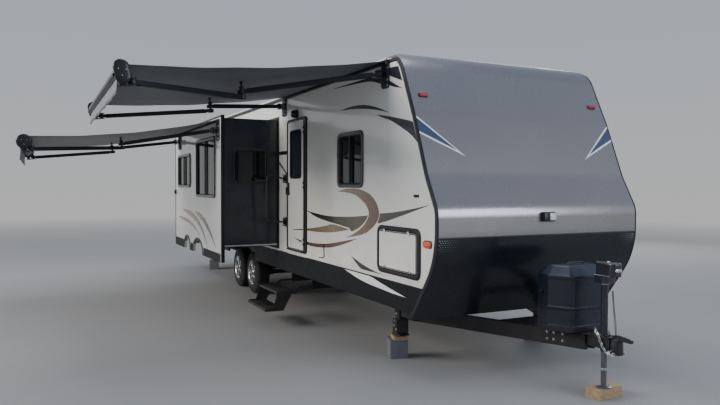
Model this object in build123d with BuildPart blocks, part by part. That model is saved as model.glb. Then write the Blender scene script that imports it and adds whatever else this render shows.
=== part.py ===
"""Travel caravan with a side room that slides out, two folding-arm awnings and a braced drawbar.

Design frame, millimetres: +X forward to the hitch, X = 0 at the nose; +Y to the left (road) side; +Z up, Z = 0 on the
ground. Every piece is drawn in that frame and moved by SHIFT when it is written, so that the row's origin is on the
ground under the middle of the whole object.
"""

import math
import os

from build123d import *

os.makedirs("parts", exist_ok=True)

# ---------------------------------------------------------------- driving dimensions
SHIFT = (4577.5, 1690.25, 0.0)  # natural frame to row frame
HALF_W = 1220.0  # half of the 8 ft body width
WALL = 40.0  # side wall thickness
SKIN = 50.0  # front cap, roof and rear wall thickness
REAR = -10100.0  # rear face of the body
BODY_LOW = 557.0  # lowest edge of the front cap
WALL_LOW = 872.0  # lower edge of the side walls
CAP_SPLIT = 1360.0  # joint of the upper and the lower front cap
ROOF_Z = 3152.0  # roof at its crown
CAP_END = -1000.0  # where cap and roof meet
FLOOR_LOW, FLOOR_TOP = 775.0, 930.0
RAIL_LOW, RAIL_TOP, RAIL_Y = 525.0, 775.0, 800.0  # main rails of the chassis
DRAW_LOW, DRAW_TOP = 385.0, 525.0  # drawbar rails
BALL_X, BALL_R = 890.0, 30.2  # socket for a 2 5/16 in ball
JACK_X = 750.0
TYRE_R, TYRE_IN, TYRE_W, TYRE_OUT = 350.0, 192.0, 225.0, 1149.0
AXLE_X = (-5884.0, -6739.0)
STAB_X, STAB_Y, STAB_PIVOT_Z, STAB_FOOT_Z = (-1130.0, -9300.0), 950.0, 480.0, 240.0
CLEAR = 8.0  # running gap round doors

# side profile of the body: x, z, corner radius (0 at the two ends)
PROFILE = [
    (-430, BODY_LOW, 0),
    (0, 1143, 800),
    (0, 1600, 250),
    (-180, 1925, 500),
    (-403, 2488, 600),
    (-716.5, ROOF_Z, 350),
    (REAR, ROOF_Z, 70),
    (REAR, BODY_LOW, 0),
]

# windows of the body: side (-1 right, +1 left), x0, x1, z0, z1, uprights
WINDOWS = [
    (-1, -2127, -1505, 1827, 2405, 1),
    (-1, -9250, -8500, 1850, 2420, 1),
    (+1, -2127, -1505, 1827, 2405, 1),
    (+1, -5000, -3600, 1760, 2420, 2),
    (+1, -7350, -6850, 2000, 2420, 0),
    (+1, -9250, -8500, 1850, 2420, 1),
]
# entry door: outer frame
DOOR = (-3868.0, -3196.0, 928.0, 2732.0)
JAMB_X = -3144.0  # front edge of its wide front jamb
DOOR_PANE = (-3720.0, -3326.0, 1938.0, 2561.0)
# baggage hatches: side, x0, x1, z0, z1 of the outer frame
HATCHES = [(-1, -1128, -311, 958, 1408), (+1, -1128, -311, 958, 1408)]

# slide-out room
ROOM_X0, ROOM_X1 = -7654.0, -4298.0
ROOM_Z0, ROOM_Z1 = 948.0, 2777.0
ROOM_OUT = -2071.0  # outer face of its outer wall
ROOM_WALL = 40.0
FASCIA_LAP = 40.0  # outer wall past the end walls
FASCIA_LOW = 725.0
ROOM_IN = -1180.0  # inboard end of the room at rest
# outer wall windows: x0, x1, z0, z1, uprights
ROOM_WINDOWS = [(-5857, -4640, 1660, 2520, 1), (-7379, -6380, 1810, 2340, 1)]
ROOM_END_WINDOW = (-1885.0, -1373.0, 1870.0, 2330.0)  # y0, y1, z0, z1
# wheel arches in its fascia: x0, x1, top z
ARCHES = [(-6180, -5430, 940), (-6900, -6380, 930)]

# awnings: name, shoulder x front, x rear, shoulder y, shoulder z, wrist y, wrist plane z, arm length, roller y, roller z,
# roller radius, rail y, rail z, rail depth, sag mid y, sag mid z
AWNINGS = [
    dict(name="awning", xf=-975, xr=-4010, ys=-1300, zs=2940, yw=-3660, zw=2744, arm=1440, yr=-3745, zr=2770, rr=58,
         wall=-HALF_W, rail_z=3062, sag=(-2480, 2905), hem=2590),
    dict(name="room_awning", xf=-4430, xr=-7270, ys=-2146, zs=2600, yw=-4460, zw=2330, arm=1384, yr=-4538, zr=2368,
         rr=66, wall=ROOM_OUT, rail_z=2740, sag=(-3230, 2528), hem=2140),
]

PIECES = []


def keep(name, builder):
    """Label a finished piece and put it on the list to write."""
    builder.part.label = name
    PIECES.append((name, builder))


def block(x0, x1, y0, y1, z0, z1, mode=Mode.ADD):
    with Locations(((x0 + x1) / 2, (y0 + y1) / 2, (z0 + z1) / 2)):
        Box(abs(x1 - x0), abs(y1 - y0), abs(z1 - z0), mode=mode)


def plate_y(x0, x1, z0, z1, y0, y1, r, mode=Mode.ADD):
    """Rounded rectangle in X and Z, from y0 to y1."""
    lo, hi = min(y0, y1), max(y0, y1)
    with BuildSketch(Plane.XZ.offset(-hi)) as s:
        with Locations(((x0 + x1) / 2, (z0 + z1) / 2)):
            RectangleRounded(x1 - x0, z1 - z0, r)
    extrude(s.sketch, amount=hi - lo, mode=mode)


def plate_x(y0, y1, z0, z1, x0, x1, r, mode=Mode.ADD):
    """Rounded rectangle in Y and Z, from x0 to x1."""
    lo, hi = min(x0, x1), max(x0, x1)
    with BuildSketch(Plane.YZ.offset(lo)) as s:
        with Locations(((y0 + y1) / 2, (z0 + z1) / 2)):
            RectangleRounded(y1 - y0, z1 - z0, r)
    extrude(s.sketch, amount=hi - lo, mode=mode)


def plate_z(x0, x1, y0, y1, z0, z1, r, mode=Mode.ADD):
    """Rounded rectangle in X and Y, from z0 to z1."""
    with BuildSketch(Plane.XY.offset(z0)) as s:
        with Locations(((x0 + x1) / 2, (y0 + y1) / 2)):
            RectangleRounded(x1 - x0, y1 - y0, r)
    extrude(s.sketch, amount=z1 - z0, mode=mode)


def rod(p, q, r, mode=Mode.ADD):
    """Round bar from p to q."""
    a, b = Vector(*p), Vector(*q)
    with BuildSketch(Plane(origin=a, z_dir=(b - a))) as s:
        Circle(r)
    extrude(s.sketch, amount=(b - a).length, mode=mode)


def inward(d):
    """The side profile moved inward by d: points and corner radii."""
    pts = [(x, z) for x, z, _ in PROFILE]
    n = len(pts)
    lines = []
    for i in range(n):
        (x0, z0), (x1, z1) = pts[i], pts[(i + 1) % n]
        length = math.hypot(x1 - x0, z1 - z0)
        ux, uz = (x1 - x0) / length, (z1 - z0) / length
        lines.append((x0 - uz * d, z0 + ux * d, ux, uz))
    out = []
    for i in range(n):
        ax, az, aux, auz = lines[i - 1]
        bx, bz, bux, buz = lines[i]
        cross = aux * buz - auz * bux
        t = ((bx - ax) * buz - (bz - az) * bux) / cross
        r = PROFILE[i][2]
        out.append((ax + aux * t, az + auz * t, 0 if r == 0 else (r - d if cross > 0 else r + d)))
    return out


def profile_face(d):
    """Sketch face of the side profile, inward by d, on the XZ plane."""
    pts = inward(d)
    with BuildSketch(Plane.XZ) as s:
        with BuildLine():
            run = FilletPolyline(*[(x, z) for x, z, _ in pts], radius=[r for _, _, r in pts[1:-1]])
            Line(run @ 1, run @ 0)
        make_face()
    return s.sketch


OUTER, INNER = profile_face(0), profile_face(SKIN)

# everything above the crowned roof and its rounded side edges: section in Y and Z, run along X
with BuildPart() as above_roof:
    with BuildSketch(Plane.YZ.offset(REAR - 50)):
        with BuildLine():
            low, shoulder, edge = ROOF_Z - 68, ROOF_Z - 35, ROOF_Z - 20
            Polyline((-HALF_W, low), (-HALF_W - 80, low - 20), (-HALF_W - 80, 3400), (HALF_W + 80, 3400),
                     (HALF_W + 80, low - 20), (HALF_W, low))
            ThreePointArc((HALF_W, low), (HALF_W - 16, shoulder), (HALF_W - 55, edge))
            ThreePointArc((HALF_W - 55, edge), (0, ROOF_Z - 2), (-HALF_W + 55, edge))
            ThreePointArc((-HALF_W + 55, edge), (-HALF_W + 16, shoulder), (-HALF_W, low))
        make_face()
    extrude(amount=-REAR + 150)

# the shell band between the outer and the inner profile, full width, under the crown
with BuildPart() as band:
    with BuildSketch(Plane.XZ.offset(-HALF_W)):
        add(OUTER)
        add(INNER, mode=Mode.SUBTRACT)
    extrude(amount=2 * HALF_W)
    add(above_roof.part, mode=Mode.SUBTRACT)


def slice_band(x0, x1, z0, z1):
    block(x0, x1, -HALF_W - 5, HALF_W + 5, z0, z1, mode=Mode.INTERSECT)


# ---------------------------------------------------------------- body shell
with BuildPart() as front_cap_upper:
    add(band.part)
    slice_band(CAP_END, 200, CAP_SPLIT, 3400)
keep("front_cap_upper", front_cap_upper)

with BuildPart() as front_cap_lower:
    add(band.part)
    slice_band(-640, 200, 400, CAP_SPLIT)
keep("front_cap_lower", front_cap_lower)

with BuildPart() as roof_panel:
    add(band.part)
    slice_band(REAR - 50, CAP_END, 2995, 3400)
keep("roof_panel", roof_panel)

with BuildPart() as rear_wall:
    add(band.part)
    slice_band(REAR - 50, REAR + SKIN + 0.01, RAIL_TOP, 2995)
    plate_x(-520, 520, 1900, 2380, REAR - 20, REAR + SKIN + 20, 60, mode=Mode.SUBTRACT)
keep("rear_wall", rear_wall)

for side, name in ((-1, "wall_right"), (1, "wall_left")):
    y0, y1 = (-HALF_W, -HALF_W + WALL) if side < 0 else (HALF_W - WALL, HALF_W)
    with BuildPart() as wall:
        with BuildSketch(Plane.XZ.offset(-y1)):
            add(INNER)
        extrude(amount=WALL)
        block(REAR - 50, 200, y0 - 5, y1 + 5, WALL_LOW, ROOF_Z - SKIN, mode=Mode.INTERSECT)
        add(above_roof.part, mode=Mode.SUBTRACT)
        for s, x0, x1, z0, z1, _ in WINDOWS:
            if s == side:
                plate_y(x0, x1, z0, z1, y0 - 5, y1 + 5, 60, mode=Mode.SUBTRACT)
        for s, x0, x1, z0, z1 in HATCHES:
            if s == side:
                plate_y(x0 + 14, x1 - 14, z0 + 14, z1 - 14, y0 - 5, y1 + 5, 50, mode=Mode.SUBTRACT)
        if side < 0:
            x0, x1, z0, z1 = DOOR
            plate_y(x0 + 14, x1 - 14, z0 + 14, z1 - 14, y0 - 5, y1 + 5, 50, mode=Mode.SUBTRACT)
            block(ROOM_X0 - 10, ROOM_X1 + 10, y0 - 5, y1 + 5, FLOOR_TOP, ROOM_Z1 + 12, mode=Mode.SUBTRACT)
    keep(name, wall)

with BuildPart() as floor_panel:
    with BuildSketch(Plane.XZ.offset(-(HALF_W - WALL))):
        add(INNER)
    extrude(amount=2 * (HALF_W - WALL))
    block(REAR, 200, -HALF_W, HALF_W, FLOOR_LOW, FLOOR_TOP, mode=Mode.INTERSECT)
    # wells over the tandem wheels
    for side in (-1, 1):
        lo, hi = sorted((side * 890, side * (HALF_W + 5)))
        block(-7180, -5440, lo, hi, FLOOR_LOW - 5, 830, mode=Mode.SUBTRACT)
keep("floor_panel", floor_panel)

with BuildPart() as body_skirts:
    for side in (-1, 1):
        y1 = -HALF_W + WALL if side < 0 else HALF_W - 6
        with BuildSketch(Plane.XZ.offset(-y1)):
            add(INNER)
        extrude(amount=34)
    block(REAR, 200, -HALF_W - 5, HALF_W + 5, 607, WALL_LOW, mode=Mode.INTERSECT)
    for side in (-1, 1):
        y0, y1 = sorted((side * (HALF_W - WALL - 10), side * (HALF_W + 5)))
        plate_y(-7140, -5483, 500, 842, y0, y1, 90, mode=Mode.SUBTRACT)
keep("body_skirts", body_skirts)

# ---------------------------------------------------------------- windows of the body
with BuildPart() as window_frames:
    for side, x0, x1, z0, z1, bars in WINDOWS:
        y_in, y_out = side * HALF_W, side * (HALF_W + 14)
        plate_y(x0 - 25, x1 + 25, z0 - 25, z1 + 25, y_in, y_out, 80)
        plate_y(x0 + 18, x1 - 18, z0 + 18, z1 - 18, side * (HALF_W - 5), side * (HALF_W + 20), 46, mode=Mode.SUBTRACT)
        for i in range(bars):
            xm = x0 + (x1 - x0) * (i + 1) / (bars + 1)
            block(xm - 13, xm + 13, y_in, y_out, z0 + 16, z1 - 16)
    plate_x(-545, 545, 1875, 2405, REAR - 14, REAR, 80)
    plate_x(-502, 502, 1918, 2362, REAR - 20, REAR + 5, 46, mode=Mode.SUBTRACT)
    block(REAR - 14, REAR, -13, 13, 1916, 2364)
keep("window_frames", window_frames)

with BuildPart() as window_panes:
    for side, x0, x1, z0, z1, _ in WINDOWS:
        plate_y(x0, x1, z0, z1, side * (HALF_W - 24), side * (HALF_W - 16), 60)
    plate_x(-520, 520, 1900, 2380, REAR + 16, REAR + 24, 60)
keep("window_panes", window_panes)

# ---------------------------------------------------------------- hinges of the door and the hatches
DOOR_HINGE = (DOOR[1] - 26, -HALF_W - 27.5)  # its upright axis: x, y
DOOR_HINGE_Z = (1080.0, 1830.0, 2560.0)
HATCH_HINGE = (HALF_W + 22.5, 1385.0)  # its level axis: |y|, z
HATCH_HINGE_X = (-960.0, -480.0)
KNUCKLE, BARREL_R, PIN_R = 30.0, 6.5, 3.0
HATCH_BARREL_R, HATCH_PIN_R = 5.0, 2.5

# ---------------------------------------------------------------- door and hatch frames, wall brackets
HANDLE_X, HANDLE_Y = -3960.0, -HALF_W - 34
with BuildPart() as door_frames:
    x0, x1, z0, z1 = DOOR
    plate_y(x0, JAMB_X, z0, z1, -HALF_W - 20, -HALF_W, 64)
    plate_y(x0 + 26, x1 - 26, z0 + 18, z1 - 18, -HALF_W - 25, -HALF_W + 5, 48, mode=Mode.SUBTRACT)
    for side, x0, x1, z0, z1 in HATCHES:
        plate_y(x0, x1, z0, z1, side * HALF_W, side * (HALF_W + 16), 62)
        plate_y(x0 + 26, x1 - 26, z0 + 26, z1 - 26, side * (HALF_W - 5), side * (HALF_W + 25), 40, mode=Mode.SUBTRACT)
    # brackets of the grab handle
    for z in (1310, 1920):
        block(HANDLE_X - 28, HANDLE_X + 28, -HALF_W - 12, -HALF_W, z - 62, z + 62)
        for z0 in (z - 58, z + 46):
            block(HANDLE_X - 15, HANDLE_X + 15, HANDLE_Y - 14, -HALF_W - 10, z0, z0 + 12)
    # frame knuckles and pins of the hinges
    for z in DOOR_HINGE_Z:
        for s in (-1, 1):
            z0, z1 = sorted((z + s * (KNUCKLE / 2 + 1), z + s * (KNUCKLE * 1.5 + 1)))
            block(DOOR_HINGE[0] + 1, DOOR_HINGE[0] + 22, DOOR_HINGE[1] - 3, -HALF_W - 15, z0, z1)
            block(DOOR_HINGE[0], DOOR_HINGE[0] + 4, DOOR_HINGE[1] - 3, DOOR_HINGE[1] + 4, z0, z1)
            rod((*DOOR_HINGE, z0), (*DOOR_HINGE, z1), BARREL_R)
        rod((*DOOR_HINGE, z - KNUCKLE * 1.5), (*DOOR_HINGE, z + KNUCKLE * 1.5), PIN_R)
    for side in (-1, 1):
        for x in HATCH_HINGE_X:
            y, z = side * HATCH_HINGE[0], HATCH_HINGE[1]
            for s in (-1, 1):
                x0, x1 = sorted((x + s * (KNUCKLE / 2 + 1), x + s * (KNUCKLE * 1.5 + 1)))
                lo, hi = sorted((side * (HALF_W + 10), side * (HATCH_HINGE[0] + 2)))
                block(x0, x1, lo, hi, z + 1, z + 16)
                rod((x0, y, z), (x1, y, z), HATCH_BARREL_R)
            rod((x - KNUCKLE * 1.5, y, z), (x + KNUCKLE * 1.5, y, z), HATCH_PIN_R)
keep("door_frames", door_frames)

# ---------------------------------------------------------------- entry door, hinged at its front edge
LEAF = (DOOR[0] + 26 + CLEAR, DOOR[1] - 26 - CLEAR, DOOR[2] + 18 + CLEAR, DOOR[3] - 18 - CLEAR)
with BuildPart() as entry_door:
    plate_y(*LEAF, -HALF_W - 18, -HALF_W + 20, 40)
    plate_y(*DOOR_PANE, -HALF_W - 25, -HALF_W + 25, 40, mode=Mode.SUBTRACT)
    # door knuckles of its hinges: a leaf on the door, a bridge over the gap, a barrel with the pin's hole
    for z in DOOR_HINGE_Z:
        block(DOOR_HINGE[0] - 40, DOOR_HINGE[0] - 9, DOOR_HINGE[1], -HALF_W - 10, z - KNUCKLE / 2, z + KNUCKLE / 2)
        block(DOOR_HINGE[0] - 11, DOOR_HINGE[0], DOOR_HINGE[1] - 4, DOOR_HINGE[1] + 4, z - KNUCKLE / 2, z + KNUCKLE / 2)
        rod((*DOOR_HINGE, z - KNUCKLE / 2), (*DOOR_HINGE, z + KNUCKLE / 2), BARREL_R)
        rod((*DOOR_HINGE, z - KNUCKLE), (*DOOR_HINGE, z + KNUCKLE), PIN_R + 0.06, mode=Mode.SUBTRACT)
keep("entry_door", entry_door)

with BuildPart() as entry_door_pane:
    plate_y(*DOOR_PANE, -HALF_W - 4, -HALF_W + 4, 40)
keep("entry_door_pane", entry_door_pane)

# ---------------------------------------------------------------- baggage hatches, hinged at their upper edge
for side, x0, x1, z0, z1 in HATCHES:
    name = "baggage_door_right" if side < 0 else "baggage_door_left"
    with BuildPart() as hatch:
        plate_y(x0 + 34, x1 - 34, z0 + 34, z1 - 34, side * (HALF_W - 20), side * (HALF_W + 14), 36)
        for x in HATCH_HINGE_X:
            y, z = side * HATCH_HINGE[0], HATCH_HINGE[1]
            lo, hi = sorted((side * (HALF_W + 8), side * (HATCH_HINGE[0] - 1.5)))
            block(x - KNUCKLE / 2, x + KNUCKLE / 2, lo, hi, z - 40, z - 12)
            lo, hi = sorted((side * (HATCH_HINGE[0] - 4), side * (HATCH_HINGE[0] + 2)))
            block(x - KNUCKLE / 2, x + KNUCKLE / 2, lo, hi, z - 14, z)
            rod((x - KNUCKLE / 2, y, z), (x + KNUCKLE / 2, y, z), HATCH_BARREL_R)
            rod((x - KNUCKLE, y, z), (x + KNUCKLE, y, z), HATCH_PIN_R + 0.06, mode=Mode.SUBTRACT)
    keep(name, hatch)

# ---------------------------------------------------------------- chassis
DRAW_DIR = Vector(-1847, -797, 0).normalized()
STEP_X0, STEP_X1 = -3850.0, -3100.0
with BuildPart() as chassis_frame:
    for side in (-1, 1):
        yc = side * RAIL_Y
        block(REAR, -645, yc - 45, yc + 45, RAIL_LOW, RAIL_LOW + 10)
        block(REAR, -645, yc - 45, yc + 45, RAIL_TOP - 10, RAIL_TOP)
        block(REAR, -645, yc - 4, yc + 4, RAIL_LOW, RAIL_TOP)
    # cross members: x
    for x in (-700, -2400, -4300, -6311, -7900, -9000, REAR + 60):
        block(x - 30, x + 30, -RAIL_Y, RAIL_Y, 600, 700)
    # outriggers: x
    for x in (-2400, -4300, -7900, -9000):
        for side in (-1, 1):
            y0, y1 = sorted((side * RAIL_Y, side * 1178))
            with BuildSketch(Plane.YZ.offset(x - 4)):
                with BuildLine():
                    Polyline((side * RAIL_Y, RAIL_LOW + 15), (side * RAIL_Y, RAIL_TOP), (side * 1178, RAIL_TOP),
                             (side * 1178, RAIL_TOP - 60), (side * RAIL_Y, RAIL_LOW + 15))
                make_face()
            extrude(amount=8)
    # drawbar: outer lower line of the right rail from (707, -12) to (-1140, -809)
    for side in (-1, 1):
        along = Vector(DRAW_DIR.X, -side * DRAW_DIR.Y if side > 0 else DRAW_DIR.Y, 0)
        start = Vector(600, side * 58, 0)
        tip = start + along * 2030
        inner = Vector(along.Y, -along.X, 0) * (50 * (-1 if side > 0 else 1))
        with BuildSketch(Plane.XY.offset(DRAW_LOW)):
            with BuildLine():
                Polyline((start.X, start.Y), (tip.X, tip.Y), (tip.X + inner.X, tip.Y + inner.Y),
                         (start.X + inner.X, start.Y + inner.Y), close=True)
            make_face()
        extrude(amount=DRAW_TOP - DRAW_LOW)
    # cross bars between the rails and the shelf for the gas bottles
    block(-230, -170, -365, 365, DRAW_TOP - 60, DRAW_TOP)
    block(250, 560, -175, 175, DRAW_TOP - 12, DRAW_TOP)
    # keep the middle line clear behind the coupler
    block(592, 700, -200, 200, DRAW_LOW - 10, DRAW_TOP + 20, mode=Mode.SUBTRACT)
    # brackets of the corner stabilisers
    for x in STAB_X:
        for side in (-1, 1):
            y0, y1 = sorted((side * (RAIL_Y + 40), side * (STAB_Y + 50)))
            block(x - 70, x + 70, y0, y1, RAIL_LOW + 10, RAIL_LOW + 20)
            for off in (-44, 36):
                yo = side * STAB_Y + off
                block(x - 45, x + 45, yo, yo + 8, STAB_PIVOT_Z - 35, RAIL_LOW + 12)
            rod((x, side * STAB_Y - 44, STAB_PIVOT_Z), (x, side * STAB_Y + 44, STAB_PIVOT_Z), 10)
    # guides that carry the entry steps
    for x0, x1 in ((STEP_X0 - 14, STEP_X0 - 6), (STEP_X1 + 6, STEP_X1 + 14)):
        block(x0, x1, -1170, -600, 468, RAIL_LOW)
        block(x0, x1, -1170, -860, 468, FLOOR_LOW)
    block(STEP_X0 - 14, STEP_X0 + 12, -720, -600, 468, 474)
    block(STEP_X1 - 12, STEP_X1 + 14, -720, -600, 468, 474)
keep("chassis_frame", chassis_frame)

with BuildPart() as coupler:
    with BuildSketch(Plane.XY.offset(DRAW_TOP)):
        with BuildLine():
            Polyline((470, -128), (640, -62), (BALL_X - 40, -52), (BALL_X - 40, 52), (640, 62), (470, 128), close=True)
        make_face()
    extrude(amount=12)
    block(592, BALL_X - 40, -45, 45, 430, DRAW_TOP)
    with BuildSketch(Plane.XY.offset(405)):
        with Locations((BALL_X, 0)):
            Circle(50)
    extrude(amount=122)
    with BuildSketch(Plane.XY.offset(405)):
        with Locations((BALL_X, 0)):
            Circle(BALL_R)
    extrude(amount=60, mode=Mode.SUBTRACT)
    # hole for the jack tube
    with BuildSketch(Plane.XY.offset(400)):
        with Locations((JACK_X, 0)):
            Circle(32)
    extrude(amount=200, mode=Mode.SUBTRACT)
    # latch lever on the head
    block(850, 1050, -12, 12, 527, 556)
keep("coupler", coupler)

# ---------------------------------------------------------------- axles, springs and wheels
with BuildPart() as axles:
    for x in AXLE_X:
        rod((x, -870, TYRE_R), (x, 870, TYRE_R), 38)
        for side in (-1, 1):
            rod((x, side * 868, TYRE_R), (x, side * 876, TYRE_R), 135)
            rod((x, side * 870, TYRE_R), (x, side * 1100, TYRE_R), 18)
            # spring seat
            block(x - 60, x + 60, side * RAIL_Y - 28, side * RAIL_Y + 28, TYRE_R, TYRE_R + 66)
    for side in (-1, 1):
        yc = side * RAIL_Y
        for x in AXLE_X:
            with BuildSketch(Plane.XZ.offset(-(yc + 25))):
                with BuildLine():
                    ThreePointArc((x - 360, 478), (x, 402), (x + 360, 478))
                    Line((x + 360, 478), (x + 360, 500))
                    ThreePointArc((x + 360, 500), (x, 432), (x - 360, 500))
                    Line((x - 360, 500), (x - 360, 478))
                make_face()
            extrude(amount=50)
        # hangers and the equaliser between the two axles
        for x in (AXLE_X[0] + 350, (AXLE_X[0] + AXLE_X[1]) / 2, AXLE_X[1] - 350):
            block(x - 75, x + 75, yc - 32, yc - 26, 455, RAIL_LOW)
            block(x - 75, x + 75, yc + 26, yc + 32, 455, RAIL_LOW)
            block(x - 75, x + 75, yc - 30, yc + 30, RAIL_LOW - 8, RAIL_LOW)
            rod((x, yc - 38, 487), (x, yc + 38, 487), 8)
        xm = (AXLE_X[0] + AXLE_X[1]) / 2
        block(xm - 70, xm + 70, yc - 26, yc + 26, 470, 500)
keep("axles_and_springs", axles)

WHEELS = [("front_right", -1, 0), ("front_left", 1, 0), ("rear_right", -1, 1), ("rear_left", 1, 1)]
for name, side, which in WHEELS:
    x = AXLE_X[which]
    face = Plane(origin=(x, side * TYRE_OUT, TYRE_R), x_dir=(1, 0, 0), z_dir=(0, side, 0))
    # revolve sections are drawn on a plane through the axle: local x = radius, local y = distance in from the face
    sect = Plane(origin=(x, side * TYRE_OUT, TYRE_R), x_dir=(1, 0, 0), z_dir=(0, 0, 1) if side < 0 else (0, 0, -1))
    spin = Axis((x, 0, TYRE_R), (0, 1, 0))
    with BuildPart() as tyre:
        with BuildSketch(sect):
            with BuildLine():
                Polyline((TYRE_IN, 22), (TYRE_IN + 30, 8), (250, 0), (300, 6))
                ThreePointArc((300, 6), (338, 22), (TYRE_R, 52))
                Line((TYRE_R, 52), (TYRE_R, TYRE_W - 52))
                ThreePointArc((TYRE_R, TYRE_W - 52), (338, TYRE_W - 22), (300, TYRE_W - 6))
                Polyline((300, TYRE_W - 6), (250, TYRE_W), (TYRE_IN + 30, TYRE_W - 8), (TYRE_IN, TYRE_W - 22),
                         (TYRE_IN, 22))
            make_face()
        revolve(axis=spin)
    keep("tyre_" + name, tyre)
    with BuildPart() as rim:
        with BuildSketch(sect):
            with BuildLine():
                # barrel, drawn as one closed section: radius, depth
                Polyline((200, 8), (TYRE_IN, 20), (TYRE_IN, TYRE_W - 20), (200, TYRE_W - 8), (182, TYRE_W - 8),
                         (176, TYRE_W - 40), (176, 40), (186, 8), close=True)
            make_face()
            # disc
            with BuildLine():
                Polyline((19, 48), (45, 30), (60, 30), (110, 40), (178, 34), (178, 52), (110, 62), (60, 60), (60, 130),
                         (19, 130), close=True)
            make_face()
        revolve(axis=spin)
        with Locations(face.offset(-90)):
            with PolarLocations(118, 10):
                Box(62, 24, 200, mode=Mode.SUBTRACT)
    keep("rim_" + name, rim)

# ---------------------------------------------------------------- corner stabilisers

STABS = [("front_right", 0, -1), ("front_left", 0, 1), ("rear_right", 1, -1), ("rear_left", 1, 1)]
for name, which, side in STABS:
    x, y = STAB_X[which], side * STAB_Y
    reach = STAB_PIVOT_Z - STAB_FOOT_Z - 0.4
    with BuildPart() as leg:
        block(x - 34, x + 34, y - 29, y + 29, STAB_FOOT_Z + 20, STAB_PIVOT_Z + 26)
        block(x - 45, x + 45, y - 70, y + 70, STAB_FOOT_Z + 36, STAB_PIVOT_Z - 60)
        # rocker foot, curved about the pivot
        with BuildSketch(Plane.XZ.offset(-(y + 60))):
            with BuildLine():
                ThreePointArc((x - 90, STAB_PIVOT_Z - math.sqrt(reach**2 - 90**2)), (x, STAB_PIVOT_Z - reach),
                              (x + 90, STAB_PIVOT_Z - math.sqrt(reach**2 - 90**2)))
                Polyline((x + 90, STAB_PIVOT_Z - math.sqrt(reach**2 - 90**2)), (x + 60, STAB_FOOT_Z + 34),
                         (x - 60, STAB_FOOT_Z + 34), (x - 90, STAB_PIVOT_Z - math.sqrt(reach**2 - 90**2)))
            make_face()
        extrude(amount=120)
        rod((x, y - 40, STAB_PIVOT_Z), (x, y + 40, STAB_PIVOT_Z), 11.0, mode=Mode.SUBTRACT)
    keep("stabiliser_leg_" + name, leg)

with BuildPart() as concrete_blocks:
    for x in STAB_X:
        for side in (-1, 1):
            with Locations(Location((x - 72, side * STAB_Y, 100), (0, 0, side * 15))):
                Box(190, 190, 200)
keep("concrete_blocks", concrete_blocks)

with BuildPart() as wood_blocks:
    for x in STAB_X:
        for side in (-1, 1):
            with Locations(Location((x - 32, side * STAB_Y, (200 + STAB_FOOT_Z) / 2), (0, 0, side * 15))):
                Box(160, 140, STAB_FOOT_Z - 200)
    # two boards under the jack
    for z0, ang in ((0, 96), (44.1, 100)):
        with Locations(Location((JACK_X - 22, 28, z0 + 21.9), (0, 0, ang))):
            Box(298, 160, 43.8)
keep("wood_blocks", wood_blocks)

# ---------------------------------------------------------------- drawbar jack
with BuildPart() as drawbar_jack:
    rod((JACK_X, 0, 400), (JACK_X, 0, 1000), 30)
    rod((JACK_X, 0, 395), (JACK_X, 0, 975), 25.5, mode=Mode.SUBTRACT)
    with BuildSketch(Plane.XY.offset(DRAW_TOP + 12)):
        with Locations((JACK_X, 0)):
            Circle(46)
            Circle(30, mode=Mode.SUBTRACT)
    extrude(amount=10)
    plate_z(JACK_X - 75, JACK_X + 75, -65, 65, 995, 1060, 40)
    plate_z(JACK_X - 70, JACK_X + 150, -60, 60, 1060, 1165, 45)
keep("drawbar_jack", drawbar_jack)

with BuildPart() as drawbar_jack_leg:
    rod((JACK_X, 0, 96), (JACK_X, 0, 640), 24)
    rod((JACK_X, 0, 88), (JACK_X, 0, 100), 62)
keep("drawbar_jack_leg", drawbar_jack_leg)

# ---------------------------------------------------------------- gas bottle cover: plan with chamfered front corners
COVER_LOW, COVER_SIDE, COVER_TOP = 540.0, 1035.0, 1112.0


def cover_plan(x0, x1, half, front_half, z):
    with BuildSketch(Plane.XY.offset(z)) as s:
        with BuildLine():
            xm = x0 + (x1 - x0) * 0.45
            Polyline((x0, -half), (xm, -half), (x1, -front_half), (x1, front_half), (xm, half), (x0, half), close=True)
        make_face()
    return s


with BuildPart() as gas_bottle_cover:
    extrude(cover_plan(235, 565, 290, 200, COVER_LOW).sketch, amount=COVER_SIDE - COVER_LOW)
    extrude(cover_plan(235, 565, 290, 200, COVER_SIDE - 1).sketch, amount=COVER_TOP - COVER_SIDE + 1, taper=38)
    # hollow: open below, over the two gas bottles
    extrude(cover_plan(241, 559, 284, 194, COVER_LOW - 5).sketch, amount=COVER_SIDE - COVER_LOW, mode=Mode.SUBTRACT)
keep("gas_bottle_cover", gas_bottle_cover)

# ---------------------------------------------------------------- rear bumper, roof equipment, lamps
with BuildPart() as rear_bumper:
    block(REAR - 105, REAR - 5, -1150, 1150, 520, 620)
    for side in (-1, 1):
        block(REAR - 10, REAR, side * RAIL_Y - 50, side * RAIL_Y + 50, 520, 640)
keep("rear_bumper", rear_bumper)

with BuildPart() as air_conditioner:
    with BuildSketch(Plane.XY.offset(ROOF_Z)):
        with Locations((-5250, 0)):
            RectangleRounded(980, 700, 90)
    with BuildSketch(Plane.XY.offset(ROOF_Z + 270)):
        with Locations((-5290, 0)):
            RectangleRounded(760, 560, 80)
    loft()
    block(-5700, -4800, -310, 310, ROOF_Z - 1.8, ROOF_Z + 6)
keep("air_conditioner", air_conditioner)

with BuildPart() as roof_vents:
    for x in (-2300, -7900):
        block(x - 190, x + 190, -190, 190, ROOF_Z - 2, ROOF_Z + 40)
        plate_z(x - 215, x + 215, -215, 215, ROOF_Z + 40, ROOF_Z + 95, 60)
keep("roof_vents", roof_vents)

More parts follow.
